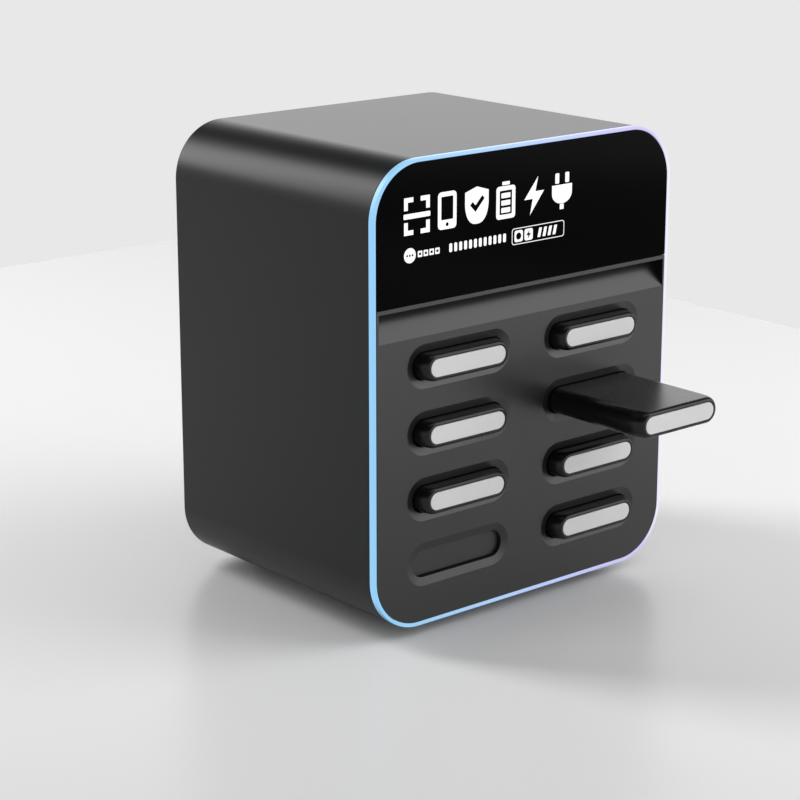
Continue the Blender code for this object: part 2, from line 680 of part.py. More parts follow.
def make_charging_boards():
    """One upright board behind each column, with a block of contacts that reaches into each bin."""
    for side, column in ((-1, "left"), (1, "right")):
        x = side * COLUMN_X
        low = (x - BOARD_WIDTH / 2, BOARD_FRONT, LOWEST_ROW - BOARD_BELOW)
        high = (x + BOARD_WIDTH / 2, BOARD_FRONT + BOARD_THICKNESS, TOP_ROW + BOARD_ABOVE)
        board = block(low, high)
        contacts = []
        for row in range(ROWS):
            z = LOWEST_ROW + row * ROW_PITCH
            near = (x - CONTACT_WIDTH / 2, BOARD_FRONT - CONTACT_LENGTH, z - CONTACT_HEIGHT / 2)
            far = (x + CONTACT_WIDTH / 2, BOARD_FRONT + BOARD_THICKNESS / 2, z + CONTACT_HEIGHT / 2)
            contacts.append(block(near, far))
        place(f"charging_board_{column}", combined(board, "UNION", *contacts), CIRCUIT)


def make_electronics():
    """The base plate, and the shelf above the bins with the power supply and the main board on it."""
    base_front = PANEL_WALL + BASE_PLATE_FROM_PANEL
    near = (-BASE_PLATE_HALF, base_front, BASE_PLATE_LOW)
    far = (BASE_PLATE_HALF, base_front + BASE_PLATE_LENGTH, BASE_PLATE_LOW + BASE_PLATE_WALL)
    base = block(near, far)
    place("base_plate", base, STEEL)

    half = SHELF_WIDTH / 2
    top = SHELF_LOW + SHELF_WALL
    tray = [
        (-half, SHELF_LOW),
        (half, SHELF_LOW),
        (half, SHELF_LOW + SHELF_FLANGE),
        (half - SHELF_WALL, SHELF_LOW + SHELF_FLANGE),
        (half - SHELF_WALL, top),
        (-half + SHELF_WALL, top),
        (-half + SHELF_WALL, SHELF_LOW + SHELF_FLANGE),
        (-half, SHELF_LOW + SHELF_FLANGE),
    ]
    place("electronics_shelf", facing([tray], SHELF_FRONT, SHELF_BACK), STEEL)

    seat = top + GAP
    front = SHELF_FRONT + LOAD_FROM_EDGE
    left = half - SHELF_WALL - SUPPLY_FROM_FLANGE - SUPPLY_SIZE.x
    low = Vector((left, front, seat))
    supply = block(low, low + SUPPLY_SIZE)
    terminals = block(low + Vector((8 * MM, -7 * MM, 2 * MM)), low + Vector((70 * MM, 1 * MM, 14 * MM)))
    place("power_supply", combined(supply, "UNION", terminals), ALUMINIUM)

    low = Vector((-half + SHELF_WALL + BOARD_FROM_FLANGE, front, seat + BOARD_STANDOFF))
    board = block(low, low + MAIN_BOARD_SIZE)
    surface = low + Vector((0, 0, MAIN_BOARD_SIZE.z / 2))
    parts = [
        block(surface + Vector(a) * MM, surface + Vector(b) * MM)
        for a, b in (
            ((20, 24, 0), (44, 48, 5)),
            ((50, 10, 0), (70, 34, 3.5)),
            ((52, 52, 0), (72, 84, 8)),
            ((6, 60, 0), (36, 84, 4)),
            ((4, 6, 0), (14, 30, 9)),
        )
    ]
    legs = []
    for across in (6 * MM, MAIN_BOARD_SIZE.x - 6 * MM):
        for along in (6 * MM, MAIN_BOARD_SIZE.y - 6 * MM):
            foot = low + Vector((across, along, -BOARD_STANDOFF))
            legs.append(rod(foot, foot + Vector((0, 0, BOARD_STANDOFF + 0.8 * MM)), 2.5 * MM, 8))
    place("main_board", combined(board, "UNION", *parts, *legs), CIRCUIT)


# ---- rear ----


def bar_slots(x, z, width, count, pitch, limit=None):
    """Cutters for rows of slots; with a limit, each row is as long as the circle there allows."""
    cutters = []
    for row in range(count):
        height = (row - (count - 1) / 2) * pitch
        span = width
        if limit:
            span = 2 * math.sqrt(limit**2 - height**2)
        outline = pill(span, GRILLE_SLOT, (x, z + height), 4)
        cutters.append(facing([outline], COVER_FRONT - 1 * MM, COVER_BACK + 1 * MM))
    return cutters


def make_back_cover():
    pitch = GRILLE_SLOT + GRILLE_BAR
    outline = cabinet_outline(SHELL_WALL + GAP)
    inlet = rounded_rectangle(
        INLET_WIDTH + 2 * GAP, INLET_HEIGHT + 2 * GAP, 1 * MM, (INLET_X, INLET_Z), 2
    )
    cover = facing([outline, inlet], COVER_FRONT, COVER_BACK)
    fan_rows = 2 * int((FAN_BORE - GRILLE_SLOT) / pitch) + 1
    cuts = bar_slots(FAN_X, FAN_Z, 0, fan_rows, pitch, FAN_BORE)
    cuts += bar_slots(VENT_X, FAN_Z, VENT_WIDTH, VENT_ROWS, pitch)
    cuts += bar_slots(0, SPEAKER_Z, 0, SPEAKER_SLOTS, SPEAKER_PITCH, SPEAKER_RADIUS)
    place("back_cover", combined(cover, "DIFFERENCE", *cuts), BLACK_SATIN)


def make_fan():
    """A square axial fan on the inside of the back cover, with its rotor on the hub's stub."""
    back = COVER_FRONT - GAP
    front = back - FAN_DEPTH
    square = rounded_rectangle(FAN_SIZE, FAN_SIZE, 4 * MM, (FAN_X, FAN_Z), 3)
    bore = rounded_rectangle(2 * FAN_BORE, 2 * FAN_BORE, FAN_BORE - 0.01 * MM, (FAN_X, FAN_Z), 6)
    body = facing([square, bore], front, back)
    hub_wall = 2 * MM
    plate = rod((FAN_X, back - hub_wall, FAN_Z), (FAN_X, back - 0.2 * MM, FAN_Z), FAN_HUB)
    stub = rod((FAN_X, back - FAN_DEPTH / 2, FAN_Z), (FAN_X, back - 1 * MM, FAN_Z), FAN_STUB, 12)
    struts = []
    for turn in range(4):
        inner_end = (FAN_HUB - 2 * MM, back - hub_wall, -1.2 * MM)
        strut = block(inner_end, (FAN_BORE + 1 * MM, back - 0.3 * MM, 1.2 * MM))
        strut.transform(Matrix.Rotation(math.pi / 2 * turn + math.pi / 4, 4, "Y"))
        strut.transform(Matrix.Translation((FAN_X, 0, FAN_Z)))
        struts.append(strut)
    place("fan_frame", combined(body, "UNION", plate, *struts, stub), BIN_BLACK)

    axis = Vector((FAN_X, front, FAN_Z))
    rotor_back = back - hub_wall - 0.8 * MM
    hub = rod((FAN_X, front + 1 * MM, FAN_Z), (FAN_X, rotor_back, FAN_Z), FAN_HUB)
    blades = []
    for number in range(FAN_BLADES):
        inner_end = (FAN_HUB - 1.5 * MM, -0.6 * MM, -6.5 * MM)
        blade = block(inner_end, (FAN_BORE - FAN_TIP_CLEARANCE, 0.6 * MM, 6.5 * MM))
        blade.transform(Matrix.Rotation(math.radians(FAN_BLADE_PITCH), 4, "X"))
        blade.transform(Matrix.Rotation(2 * math.pi * number / FAN_BLADES, 4, "Y"))
        blade.transform(Matrix.Translation((FAN_X, (front + 1 * MM + rotor_back) / 2, FAN_Z)))
        blades.append(blade)
    room_front = back - FAN_DEPTH / 2 - 0.6 * MM
    room = rod((FAN_X, rotor_back + 1 * MM, FAN_Z), (FAN_X, room_front, FAN_Z), FAN_STUB + 0.5 * MM, 12)
    rotor = combined(hub, "UNION", *blades)
    place("fan_rotor", combined(rotor, "DIFFERENCE", room), BIN_BLACK, axis)


def make_speaker():
    back = COVER_FRONT - GAP
    radius = SPEAKER_RADIUS
    profile = [
        (0, -2.5 * MM),
        (0.4 * radius, -2.5 * MM),
        (0.86 * radius, 0),
        (radius, 0),
        (radius, -1.5 * MM),
        (0.9 * radius, -2.2 * MM),
        (0.6 * radius, -7 * MM),
        (0.6 * radius, -SPEAKER_DEPTH),
        (0, -SPEAKER_DEPTH),
    ]
    place("speaker", turned(profile, (0, back, SPEAKER_Z), facing_back=True), SPEAKER_CONE)


def make_inlet():
    """The mains inlet: a flange over the cover's cut-out, a socket below and a well for the rocker above."""
    half_width = INLET_WIDTH / 2
    half_height = INLET_HEIGHT / 2
    flange_front = COVER_BACK + GAP
    flange_back = flange_front + INLET_FLANGE_WALL
    module = block(
        (INLET_X - half_width, COVER_FRONT - INLET_LENGTH, INLET_Z - half_height),
        (INLET_X + half_width, flange_front + 0.5 * MM, INLET_Z + half_height),
    )
    flange = rounded_rectangle(
        INLET_WIDTH + 2 * INLET_FLANGE, INLET_HEIGHT + 2 * INLET_FLANGE, 2 * MM, (INLET_X, INLET_Z), 3
    )
    socket = rounded_rectangle(SOCKET_WIDTH, SOCKET_HEIGHT, 2.5 * MM, (INLET_X, INLET_Z - SOCKET_BELOW), 3)
    well = rounded_rectangle(
        ROCKER_WIDTH + 2 * ROCKER_CLEARANCE,
        ROCKER_HEIGHT + 2 * ROCKER_CLEARANCE,
        0.4 * MM,
        (INLET_X, INLET_Z + ROCKER_ABOVE),
        1,
    )
    beyond = flange_back + 1 * MM
    module = combined(module, "UNION", facing([flange], flange_front, flange_back))
    socket_room = facing([socket], flange_back - SOCKET_DEPTH, beyond)
    rocker_room = facing([well], flange_back - ROCKER_WELL, beyond)
    place("power_inlet", combined(module, "DIFFERENCE", socket_room, rocker_room), INLET_BLACK)

    pivot = Vector((INLET_X, flange_back - ROCKER_BODY / 2, INLET_Z + ROCKER_ABOVE))
    half = ROCKER_HEIGHT / 2
    lift = half * math.tan(math.radians(ROCKER_TILT))
    face = ROCKER_BODY / 2 - 0.4 * MM
    outline = [
        (-ROCKER_BODY / 2, -half),
        (face + lift / 2, -half),
        (face - lift / 4, 0),
        (face + lift / 2, half),
        (-ROCKER_BODY / 2, half),
    ]
    rocker = sideways(outline, -ROCKER_WIDTH / 2, ROCKER_WIDTH / 2)
    rocker.transform(Matrix.Translation(pivot))
    switch = place("rocker_switch", rocker, INLET_BLACK, pivot)
    switch.rotation_euler.x = math.radians(ROCKER_TILT)


def make_feet():
    """Four rubber feet, slightly wider where they meet the shell."""
    top = -GAP
    profile = [
        (0, top),
        (FOOT_RADIUS, top),
        (FOOT_RADIUS, top - 1.2 * MM),
        (0.88 * FOOT_RADIUS, -FOOT_HEIGHT + 0.6 * MM),
        (0.82 * FOOT_RADIUS, -FOOT_HEIGHT),
        (0, -FOOT_HEIGHT),
    ]
    foot = finished(turned(profile, (0, 0, 0)), RUBBER)
    for end, y in (("front", FOOT_FROM_END), ("back", CABINET_DEPTH - FOOT_FROM_END)):
        for side, x in (("left", -FOOT_X), ("right", FOOT_X)):
            copy_of(foot, f"foot_{end}_{side}", (x, y, 0))


def start():
    """Clears the scene and makes the collection and the empty that carries the machine's frame."""
    for obj in list(bpy.data.objects):
        bpy.data.objects.remove(obj)
    pieces = bpy.data.collections.new("phone_charging_kiosk")
    bpy.context.scene.collection.children.link(pieces)
    machine = bpy.data.objects.new("machine", None)
    machine.location = (0, -MACHINE_MIDDLE, FOOT_HEIGHT)
    pieces.objects.link(machine)
    return pieces, machine


PIECES, MACHINE = start()

BLACK_SATIN = material("black_satin_abs", 30, 31, 34, 0.42)
PANEL_GREY = material("graphite_abs", 58, 58, 60, 0.5)
LIGHT_GUIDE = material("lit_acrylic", 182, 208, 246, 0.3, glow=1.0)
GLASS_BLACK = material("black_glass", 6, 6, 8, 0.06)
BANK_BLACK = material("black_gloss_abs", 22, 22, 24, 0.3)
PLATE_GREY = material("light_grey_abs", 206, 207, 206, 0.45)
BIN_BLACK = material("black_polycarbonate", 24, 24, 26, 0.6)
FLAP_BLACK = material("charcoal_abs", 52, 52, 54, 0.5)
CIRCUIT = material("circuit_board", 24, 74, 48, 0.5)
STEEL = material("zinc_plated_steel", 176, 180, 184, 0.35, 1.0)
ALUMINIUM = material("folded_aluminium", 190, 192, 196, 0.35, 1.0)
SPEAKER_CONE = material("coated_paper", 32, 32, 34, 0.8)
INLET_BLACK = material("black_nylon", 26, 26, 28, 0.45)
RUBBER = material("black_rubber", 22, 22, 22, 0.85)

make_shell()
make_light_ring()
make_led_strip()
make_front_panel()
make_display()
make_bins_and_flaps()
make_banks()
make_rack()
make_charging_boards()
make_electronics()
make_back_cover()
make_fan()
make_speaker()
make_inlet()
make_feet()
bpy.context.view_layer.update()
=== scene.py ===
"""Looks for the phone charging kiosk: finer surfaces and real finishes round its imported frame.

Depths run back from the cabinet's front plane, and an inset runs in from an outline, both in millimetres.
"""

import math

import bmesh
import bpy
import numpy as np
from mathutils import Matrix, Vector


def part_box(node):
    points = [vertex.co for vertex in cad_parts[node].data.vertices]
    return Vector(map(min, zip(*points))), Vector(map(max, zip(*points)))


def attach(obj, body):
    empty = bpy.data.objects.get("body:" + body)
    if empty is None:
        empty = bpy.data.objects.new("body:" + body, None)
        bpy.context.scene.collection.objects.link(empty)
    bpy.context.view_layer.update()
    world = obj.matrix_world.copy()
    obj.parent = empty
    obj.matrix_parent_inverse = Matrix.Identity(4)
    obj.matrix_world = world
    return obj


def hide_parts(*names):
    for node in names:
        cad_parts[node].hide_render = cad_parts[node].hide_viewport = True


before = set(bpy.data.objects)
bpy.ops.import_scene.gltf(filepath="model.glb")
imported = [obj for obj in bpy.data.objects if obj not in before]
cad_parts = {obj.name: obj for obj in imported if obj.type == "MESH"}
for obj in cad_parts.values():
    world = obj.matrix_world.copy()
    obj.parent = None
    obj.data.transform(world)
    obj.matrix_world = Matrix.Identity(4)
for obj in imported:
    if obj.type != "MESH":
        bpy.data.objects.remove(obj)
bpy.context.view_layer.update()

MM = 0.001
GAP = 0.3

# The cabinet, from the frame's boxes and the corner radius of its moulding
RING_LOW, RING_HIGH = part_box("light_ring")
SHELL_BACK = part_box("shell")[1].y
FRONT = RING_LOW.y
WIDTH = (RING_HIGH.x - RING_LOW.x) / MM
HEIGHT = (RING_HIGH.z - RING_LOW.z) / MM
DEPTH = (SHELL_BACK - RING_LOW.y) / MM
MIDDLE_Z = (RING_LOW.z + RING_HIGH.z) / 2 / MM
FLOOR_Z = RING_LOW.z / MM
CORNER = 30.7
SHELL_WALL = 2.6

# The lit edge and the front panel inside it
RING_FACE = 1.9
RING_DEPTH = 3.5
SKIRT_WALL = 0.8
SKIRT_DEPTH = 3.5
PANEL_INSET = RING_FACE + GAP
PANEL_WALL = 3.2
GROOVE_LOW = 157.7
GROOVE_TOP = 173.0
GROOVE_DEPTH = 9.6
CHEEK_WALL = 1.4
CHIN_HEIGHT = 2.15
GLASS_SEAT = 2.3
GLASS_FRAME_BACK = 4.8
LEDGE_WALL = 2.8

# A slot's opening and its bevelled bezel
OPENING = (63.3, 15.05)
BEZEL_SPREAD = 4.45
BEZEL_DEPTH = 1.0

# A power bank
BANK_LENGTH = 137.3
BANK_WIDTH = 61.8
BANK_THICKNESS = 14.4
PLATE_LOW, PLATE_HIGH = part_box("pack_end_plate_right_1")
PLATE = ((PLATE_HIGH.x - PLATE_LOW.x) / MM, (PLATE_HIGH.z - PLATE_LOW.z) / MM)
PLATE_THICKNESS = 1.2
TAPER_LENGTH = 10.0
NOSE_NARROWING = 4.0
NOSE_THINNING = 1.8
NOSE_PACE = 4.0
TAIL_NARROWING = 8.0
TAIL_THINNING = 2.6
TAIL_PACE = 1.8
BUTTON_FROM_TAIL = 26.0
BUTTON = (8.4, 4.8)
BUTTON_THICKNESS = 1.4
BUTTON_TRAVEL = 0.8
WINDOW_FROM_TAIL = 16.7
WINDOW = (4.7, 4.2)
WINDOW_CORNER = 0.4
WINDOW_ROOM = 1.6
LENS_PLAY = 0.3
SIDE_SETBACK = 0.2

# The back
COVER_BACK = (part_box("back_cover")[1].y - FRONT) / MM
COVER_FRONT = (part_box("back_cover")[0].y - FRONT) / MM
FAN_BORE = 27.5
GRILLE_SLOT = 3.0
GRILLE_PITCH = 5.4
VENT_X = 46.0
VENT_WIDTH = 70.0
VENT_ROWS = 7
SPEAKER_PITCH = 4.8
SPEAKER_ROWS = 5
SPEAKER_REACH = 14.0

# The cover's screws: how far out, and how high above the cabinet's underside
SIDE_SCREWS_X = 92.0
SIDE_SCREWS_Z = (26.0, 125.0, 170.0)
TOP_SCREW = (4.0, 238.0)
LOW_SCREWS = (60.0, 11.0)
FAN_SCREWS = 25.0

# The mains inlet: its body, its socket with three pins, and the rocker's well above
INLET_FLANGE_WALL = 1.8
INLET_MODULE = (27.0, 47.0)
INLET_CUT = (27.6, 47.6)
SOCKET = (24.0, 16.5)
SOCKET_CORNERS = (5.0, 5.0, 2.0, 2.0)
SOCKET_DROP = 10.5
SOCKET_DEPTH = 15.0
PIN = (2.0, 4.0)
PIN_PLACES = ((-7.0, -2.0), (0, 2.0), (7.0, -2.0))
WELL = (14.2, 19.2)
WELL_RISE = 12.0
WELL_DEPTH = 8.0

# The lit signs: how they lie on the glass, and their heights above the cabinet's underside
SIGN_DEPTH = 0.02
SIGN_THICKNESS = 0.08
HEADING_ENDS = (-78.3, 23.6)
HEADING_HEIGHT = 221.2
HEADING_SCALE = 1.02
METER_X = -83.0
METER_HEIGHT = 201.1
FRAMED_X = 6.6
FRAMED_HEIGHT = 201.0

# The table top, in metres: it runs far out in front and to the left
TABLE_REACH = -3
TABLE_RIGHT = 0.596
TABLE_BACK = 0.869

BANKS = [name[len("pack_casing_"):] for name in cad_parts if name.startswith("pack_casing_")]


def middle(node):
    """The middle of a node's box at rest, in millimetres."""
    low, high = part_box(node)
    return (low + high) / 2 / MM


COLUMN_X = {column: middle(f"pack_end_plate_{column}_1").x for column in ("left", "right")}
ROW_Z = [middle(f"pack_end_plate_right_{row}").z for row in (1, 2, 3, 4)]


# ---- surfaces ----


def rounded(width, height, radius, centre, fine):
    """Rounded rectangles in x and z, a row for each size.

    A point is its corner's centre plus the radius times the cosine and sine of a turning angle."""
    corner = np.repeat(np.arange(4), fine + 1)
    angle = np.pi / 2 * (corner + np.tile(np.linspace(0, 1, fine + 1), 4))
    across = np.where((corner == 0) | (corner == 3), 1, -1)
    up = np.where(corner < 2, 1, -1)
    width, height = np.reshape(width, (-1, 1)), np.reshape(height, (-1, 1))
    radius = np.broadcast_to(np.reshape(radius, (len(width), -1)), (len(width), 4))[:, corner]
    radius = np.clip(radius, 0.02, None)
    x = centre[0] + across * (width / 2 - radius) + radius * np.cos(angle)
    z = centre[1] + up * (height / 2 - radius) + radius * np.sin(angle)
    return x, z


def layered(size, radius, centre, profile, fine=16):
    """Outlines drawn in by each inset of a profile and set at its depth: each point is x, depth, z."""
    inset, depth = np.array(profile, float).T
    radii = np.reshape(radius, (1, -1)) - inset[:, None]
    x, z = rounded(size[0] - 2 * inset, size[1] - 2 * inset, radii, centre, fine)
    return np.stack([x, np.broadcast_to(depth[:, None], x.shape), z], -1)


def pill(size, centre, profile, fine=12):
    """Layers of an outline with fully round ends."""
    return layered(size, min(size) / 2 - 0.01, centre, profile, fine)


def cabinet(profile, fine=24):
    """Layers of the cabinet's own outline."""
    return layered((WIDTH, HEIGHT), CORNER, (0, MIDDLE_Z), profile, fine)


def fillet(inset, depth, radius, start, end, steps=5):
    """Points of an arc about (inset, depth), from one angle to another in degrees."""
    angle = np.radians(np.linspace(start, end, steps))
    return [(inset + radius * math.cos(a), depth + radius * math.sin(a)) for a in angle]


def swept(section, left, right):
    """A section of (depth, height) points carried from x = left to x = right."""
    depth, z = np.array(section, float).T
    ends = [np.stack([np.full_like(z, x), depth, z], -1) for x in (left, right)]
    return np.stack(ends)


def turned(profile, centre, axis, sides=48):
    """A profile of (radius, height) turned about an axis.

    A point is the centre, plus its radius in the direction of an angle, plus its height along the axis."""
    radius, height = np.array(profile, float).T
    angle = np.linspace(0, 2 * np.pi, sides, endpoint=False)
    along = np.array(axis, float)
    first = np.cross(along, (0, 0, 1) if abs(along[2]) < 0.9 else (1, 0, 0))
    second = np.cross(along, first)
    round_it = np.cos(angle)[:, None] * first + np.sin(angle)[:, None] * second
    return np.array(centre) + radius[:, None, None] * round_it + height[:, None, None] * along


def woven(points, endless=False):
    """A closed mesh from a grid of points: columns join round; rows join round too, or end in flat caps."""
    rows, columns = points.shape[:2]
    index = np.arange(rows * columns).reshape(rows, columns)
    near = index if endless else index[:-1]
    far = np.roll(index, -1, 0) if endless else index[1:]
    quads = np.stack([near, np.roll(near, -1, 1), np.roll(far, -1, 1), far], -1).reshape(-1, 4)
    caps = [] if endless else [index[0].tolist(), index[-1].tolist()]
    placed = points.reshape(-1, 3) * MM + np.array((0, FRONT, 0))
    mesh = bpy.data.meshes.new("woven")
    mesh.from_pydata(placed.tolist(), [], quads.tolist() + caps)
    return tidy(mesh)


def tidy(mesh):
    """Merges points that meet and turns every face outwards."""
    shape = bmesh.new()
    shape.from_mesh(mesh)
    bmesh.ops.remove_doubles(shape, verts=shape.verts, dist=0.002 * MM)
    bmesh.ops.dissolve_degenerate(shape, edges=shape.edges, dist=0.0005 * MM)
    bmesh.ops.recalc_face_normals(shape, faces=shape.faces)
    shape.to_mesh(mesh)
    shape.free()
    return mesh


def gathered(meshes):
    """Several meshes as one."""
    shape = bmesh.new()
    for mesh in meshes:
        shape.from_mesh(mesh)
    joined = bpy.data.meshes.new("gathered")
    shape.to_mesh(joined)
    shape.free()
    return joined


def carved(mesh, tool_mesh, operation="DIFFERENCE"):
    """The mesh after a Boolean with another."""
    target = bpy.data.objects.new("target", mesh)
    tool = bpy.data.objects.new("tool", tool_mesh)
    for obj in (target, tool):
        bpy.context.scene.collection.objects.link(obj)
    step = target.modifiers.new("carve", "BOOLEAN")
    step.operation = operation
    step.object = tool
    graph = bpy.context.evaluated_depsgraph_get()
    result = bpy.data.meshes.new_from_object(target.evaluated_get(graph), depsgraph=graph)
    for obj in (target, tool):
        bpy.data.objects.remove(obj)
    return tidy(result)


def inlay(shapes, depth, thickness):
    """Flat figures, each a list of loops with its holes after its outline, made solid in front of a depth."""
    curve = bpy.data.curves.new("figure", "CURVE")
    curve.dimensions = "2D"
    curve.fill_mode = "BOTH"
    curve.extrude = thickness / 2 * MM
    for loops in shapes:
        for loop in loops:
            spline = curve.splines.new("POLY")
            spline.points.add(len(loop) - 1)
            flat = np.zeros((len(loop), 4))
            flat[:, :2] = np.array(loop) * MM
            flat[:, 3] = 1
            spline.points.foreach_set("co", flat.ravel())
            spline.use_cyclic_u = True
    obj = bpy.data.objects.new("figure", curve)
    bpy.context.scene.collection.objects.link(obj)
    graph = bpy.context.evaluated_depsgraph_get()
    mesh = bpy.data.meshes.new_from_object(obj.evaluated_get(graph), depsgraph=graph)
    bpy.data.objects.remove(obj)
    points = np.empty(len(mesh.vertices) * 3)
    mesh.vertices.foreach_get("co", points)
    across, up, over = points.reshape(-1, 3).T
    standing = np.stack([across, FRONT + (depth - thickness / 2) * MM - over, up], -1)
    mesh.vertices.foreach_set("co", standing.ravel())
    return tidy(mesh)


def show(name, mesh, finish, body="cabinet", stands_for=(), crease=30):
    """Makes the piece: smooth up to its creases, riding on its body, in place of its CAD nodes."""
    mesh.materials.clear()
    mesh.materials.append(finish)
    mesh.shade_smooth()
    mesh.set_sharp_from_angle(angle=math.radians(crease))
    piece = bpy.data.objects.new(name, mesh)
    bpy.context.scene.collection.objects.link(piece)
    even = piece.modifiers.new("even", "WEIGHTED_NORMAL")
    even.keep_sharp = True
    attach(piece, body)
    if stands_for:
        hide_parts(*stands_for)
    return piece


# ---- finishes ----


def tint(hexadecimal):
    """An sRGB hex colour as the linear colour that a shader takes."""
    channels = [int(hexadecimal[i:i + 2], 16) / 255 for i in (0, 2, 4)]
    linear = [c / 12.92 if c <= 0.04045 else ((c + 0.055) / 1.055) ** 2.4 for c in channels]
    return (*linear, 1.0)


def add(tree, kind, inputs=None, **settings):
    """Adds one shader node, with its settings, and fills or links its inputs."""
    node = tree.nodes.new(kind)
    for name, value in settings.items():
        setattr(node, name, value)
    for name, value in (inputs or {}).items():
        if isinstance(value, bpy.types.NodeSocket):
            tree.links.new(value, node.inputs[name])
        else:
            node.inputs[name].default_value = value
    return node


def blank(name):
    """A new material, with its node tree and its Principled shader."""
    made = bpy.data.materials.new(name)
    made.use_nodes = True
    return made, made.node_tree, made.node_tree.nodes["Principled BSDF"]


def vary_gloss(tree, shader, pattern, roughness, spread):
    """Lets the roughness follow a pattern, by a spread either way."""
    gloss = add(
        tree, "ShaderNodeMapRange",
        {"Value": pattern.outputs["Fac"], "To Min": roughness - spread, "To Max": roughness + spread},
    )
    tree.links.new(gloss.outputs["Result"], shader.inputs["Roughness"])


def graded(tree, value, stops):
    """A colour ramp through stops, each a place and a colour."""
    node = add(tree, "ShaderNodeValToRGB", {"Fac": value})
    elements = node.color_ramp.elements
    elements[0].color = tint(stops[0][1])
    elements[1].color = tint(stops[-1][1])
    elements[1].position = stops[-1][0]
    for at, colour in stops[1:-1]:
        elements.new(at).color = tint(colour)
    return node.outputs["Color"]


def moulded(name, colour, roughness, grain, height, specular=0.5):
    """Injection-moulded plastic with a spark-eroded grain: tiny rounded pits that break up the gloss.

    The real grain is about 0.1 mm across. It is drawn at the size given, in millimetres, so that it shows."""
    made, tree, shader = blank(name)
    place = add(tree, "ShaderNodeTexCoord").outputs["Object"]
    pits = add(tree, "ShaderNodeTexNoise", {"Vector": place, "Scale": 1 / (grain * MM), "Detail": 3.0})
    cloud = add(tree, "ShaderNodeTexNoise", {"Vector": place, "Scale": 1 / (45 * MM), "Detail": 2.0})
    shade = add(tree, "ShaderNodeMix", data_type="RGBA")
    tree.links.new(cloud.outputs["Fac"], shade.inputs["Factor"])
    base = tint(colour)
    shade.inputs["A"].default_value = tuple(c * 0.93 for c in base[:3]) + (1.0,)
    shade.inputs["B"].default_value = tuple(c * 1.07 for c in base[:3]) + (1.0,)
    tree.links.new(shade.outputs["Result"], shader.inputs["Base Color"])
    vary_gloss(tree, shader, pits, roughness, 0.04)
    bump = add(
        tree, "ShaderNodeBump", {"Height": pits.outputs["Fac"], "Distance": height * MM, "Strength": 1.0},
    )
    tree.links.new(bump.outputs["Normal"], shader.inputs["Normal"])
    shader.inputs["Specular IOR Level"].default_value = specular
    return made


def polished(name, colour, roughness, specular=0.5):
    """Plastic from a polished mould: clear gloss with faint, broad flow marks."""
    made, tree, shader = blank(name)
    place = add(tree, "ShaderNodeTexCoord").outputs["Object"]
    flow = add(tree, "ShaderNodeTexNoise", {"Vector": place, "Scale": 1 / (22 * MM), "Detail": 2.0})
    vary_gloss(tree, shader, flow, roughness, 0.03)
    shader.inputs["Base Color"].default_value = tint(colour)
    shader.inputs["Specular IOR Level"].default_value = specular
    return made


def light_guide():
    """Opal acrylic lit from behind: an even glow from sky blue on the left to lavender and a pale right side.

    Its underside is kept nearly dark, so that it doesn't light the table under the front edge."""
    made, tree, shader = blank("opal_acrylic_lit")
    place = add(tree, "ShaderNodeTexCoord").outputs["Object"]
    split = add(tree, "ShaderNodeSeparateXYZ", {"Vector": place})
    half = WIDTH / 2 * MM
    share = add(
        tree, "ShaderNodeMapRange", {"Value": split.outputs["X"], "From Min": -half, "From Max": half},
    )
    colours = graded(tree, share.outputs["Result"], (
        (0.0, "8ECAF3"), (0.12, "96CCF2"), (0.45, "AECBF6"),
        (0.75, "BEC3F3"), (0.93, "C9C0F0"), (1.0, "EBE9F8"),
    ))
    tree.links.new(colours, shader.inputs["Emission Color"])
    normal = add(tree, "ShaderNodeNewGeometry").outputs["Normal"]
    facing = add(tree, "ShaderNodeSeparateXYZ", {"Vector": normal})
    strength = add(
        tree, "ShaderNodeMapRange",
        {"Value": facing.outputs["Z"], "From Min": -0.9, "From Max": -0.3, "To Min": 0.05, "To Max": 1.0},
    )
    tree.links.new(strength.outputs["Result"], shader.inputs["Emission Strength"])
    shader.inputs["Base Color"].default_value = tint("101418")
    shader.inputs["Roughness"].default_value = 0.35
    return made


def printed_glass():
    """Glass printed black on its back, with an anti-reflection coat that keeps nearly all reflections off."""
    made, _, shader = blank("black_printed_glass")
    shader.inputs["Base Color"].default_value = tint("020203")
    shader.inputs["Roughness"].default_value = 0.12
    shader.inputs["Specular IOR Level"].default_value = 0.02
    return made


def lit_graphic():
    """Clear windows in the print with white light behind them."""
    made, _, shader = blank("white_backlit_print")
    shader.inputs["Base Color"].default_value = tint("202020")
    shader.inputs["Roughness"].default_value = 0.4
    shader.inputs["Emission Color"].default_value = tint("FFFFFF")
    shader.inputs["Emission Strength"].default_value = 1.0
    return made


def rolled_steel(name, colour, roughness):
    """Sheet metal with the fine straight lines that rolling leaves, drawn at 0.8 mm so that they show."""
    made, tree, shader = blank(name)
    place = add(tree, "ShaderNodeTexCoord").outputs["Object"]
    drawn = add(tree, "ShaderNodeMapping", {"Vector": place, "Scale": (40.0, 1250.0, 1250.0)})
    lines = add(tree, "ShaderNodeTexNoise", {"Vector": drawn.outputs["Vector"], "Scale": 1.0, "Detail": 2.0})
    vary_gloss(tree, shader, lines, roughness, 0.08)
    shader.inputs["Base Color"].default_value = tint(colour)
    shader.inputs["Metallic"].default_value = 1.0
    return made


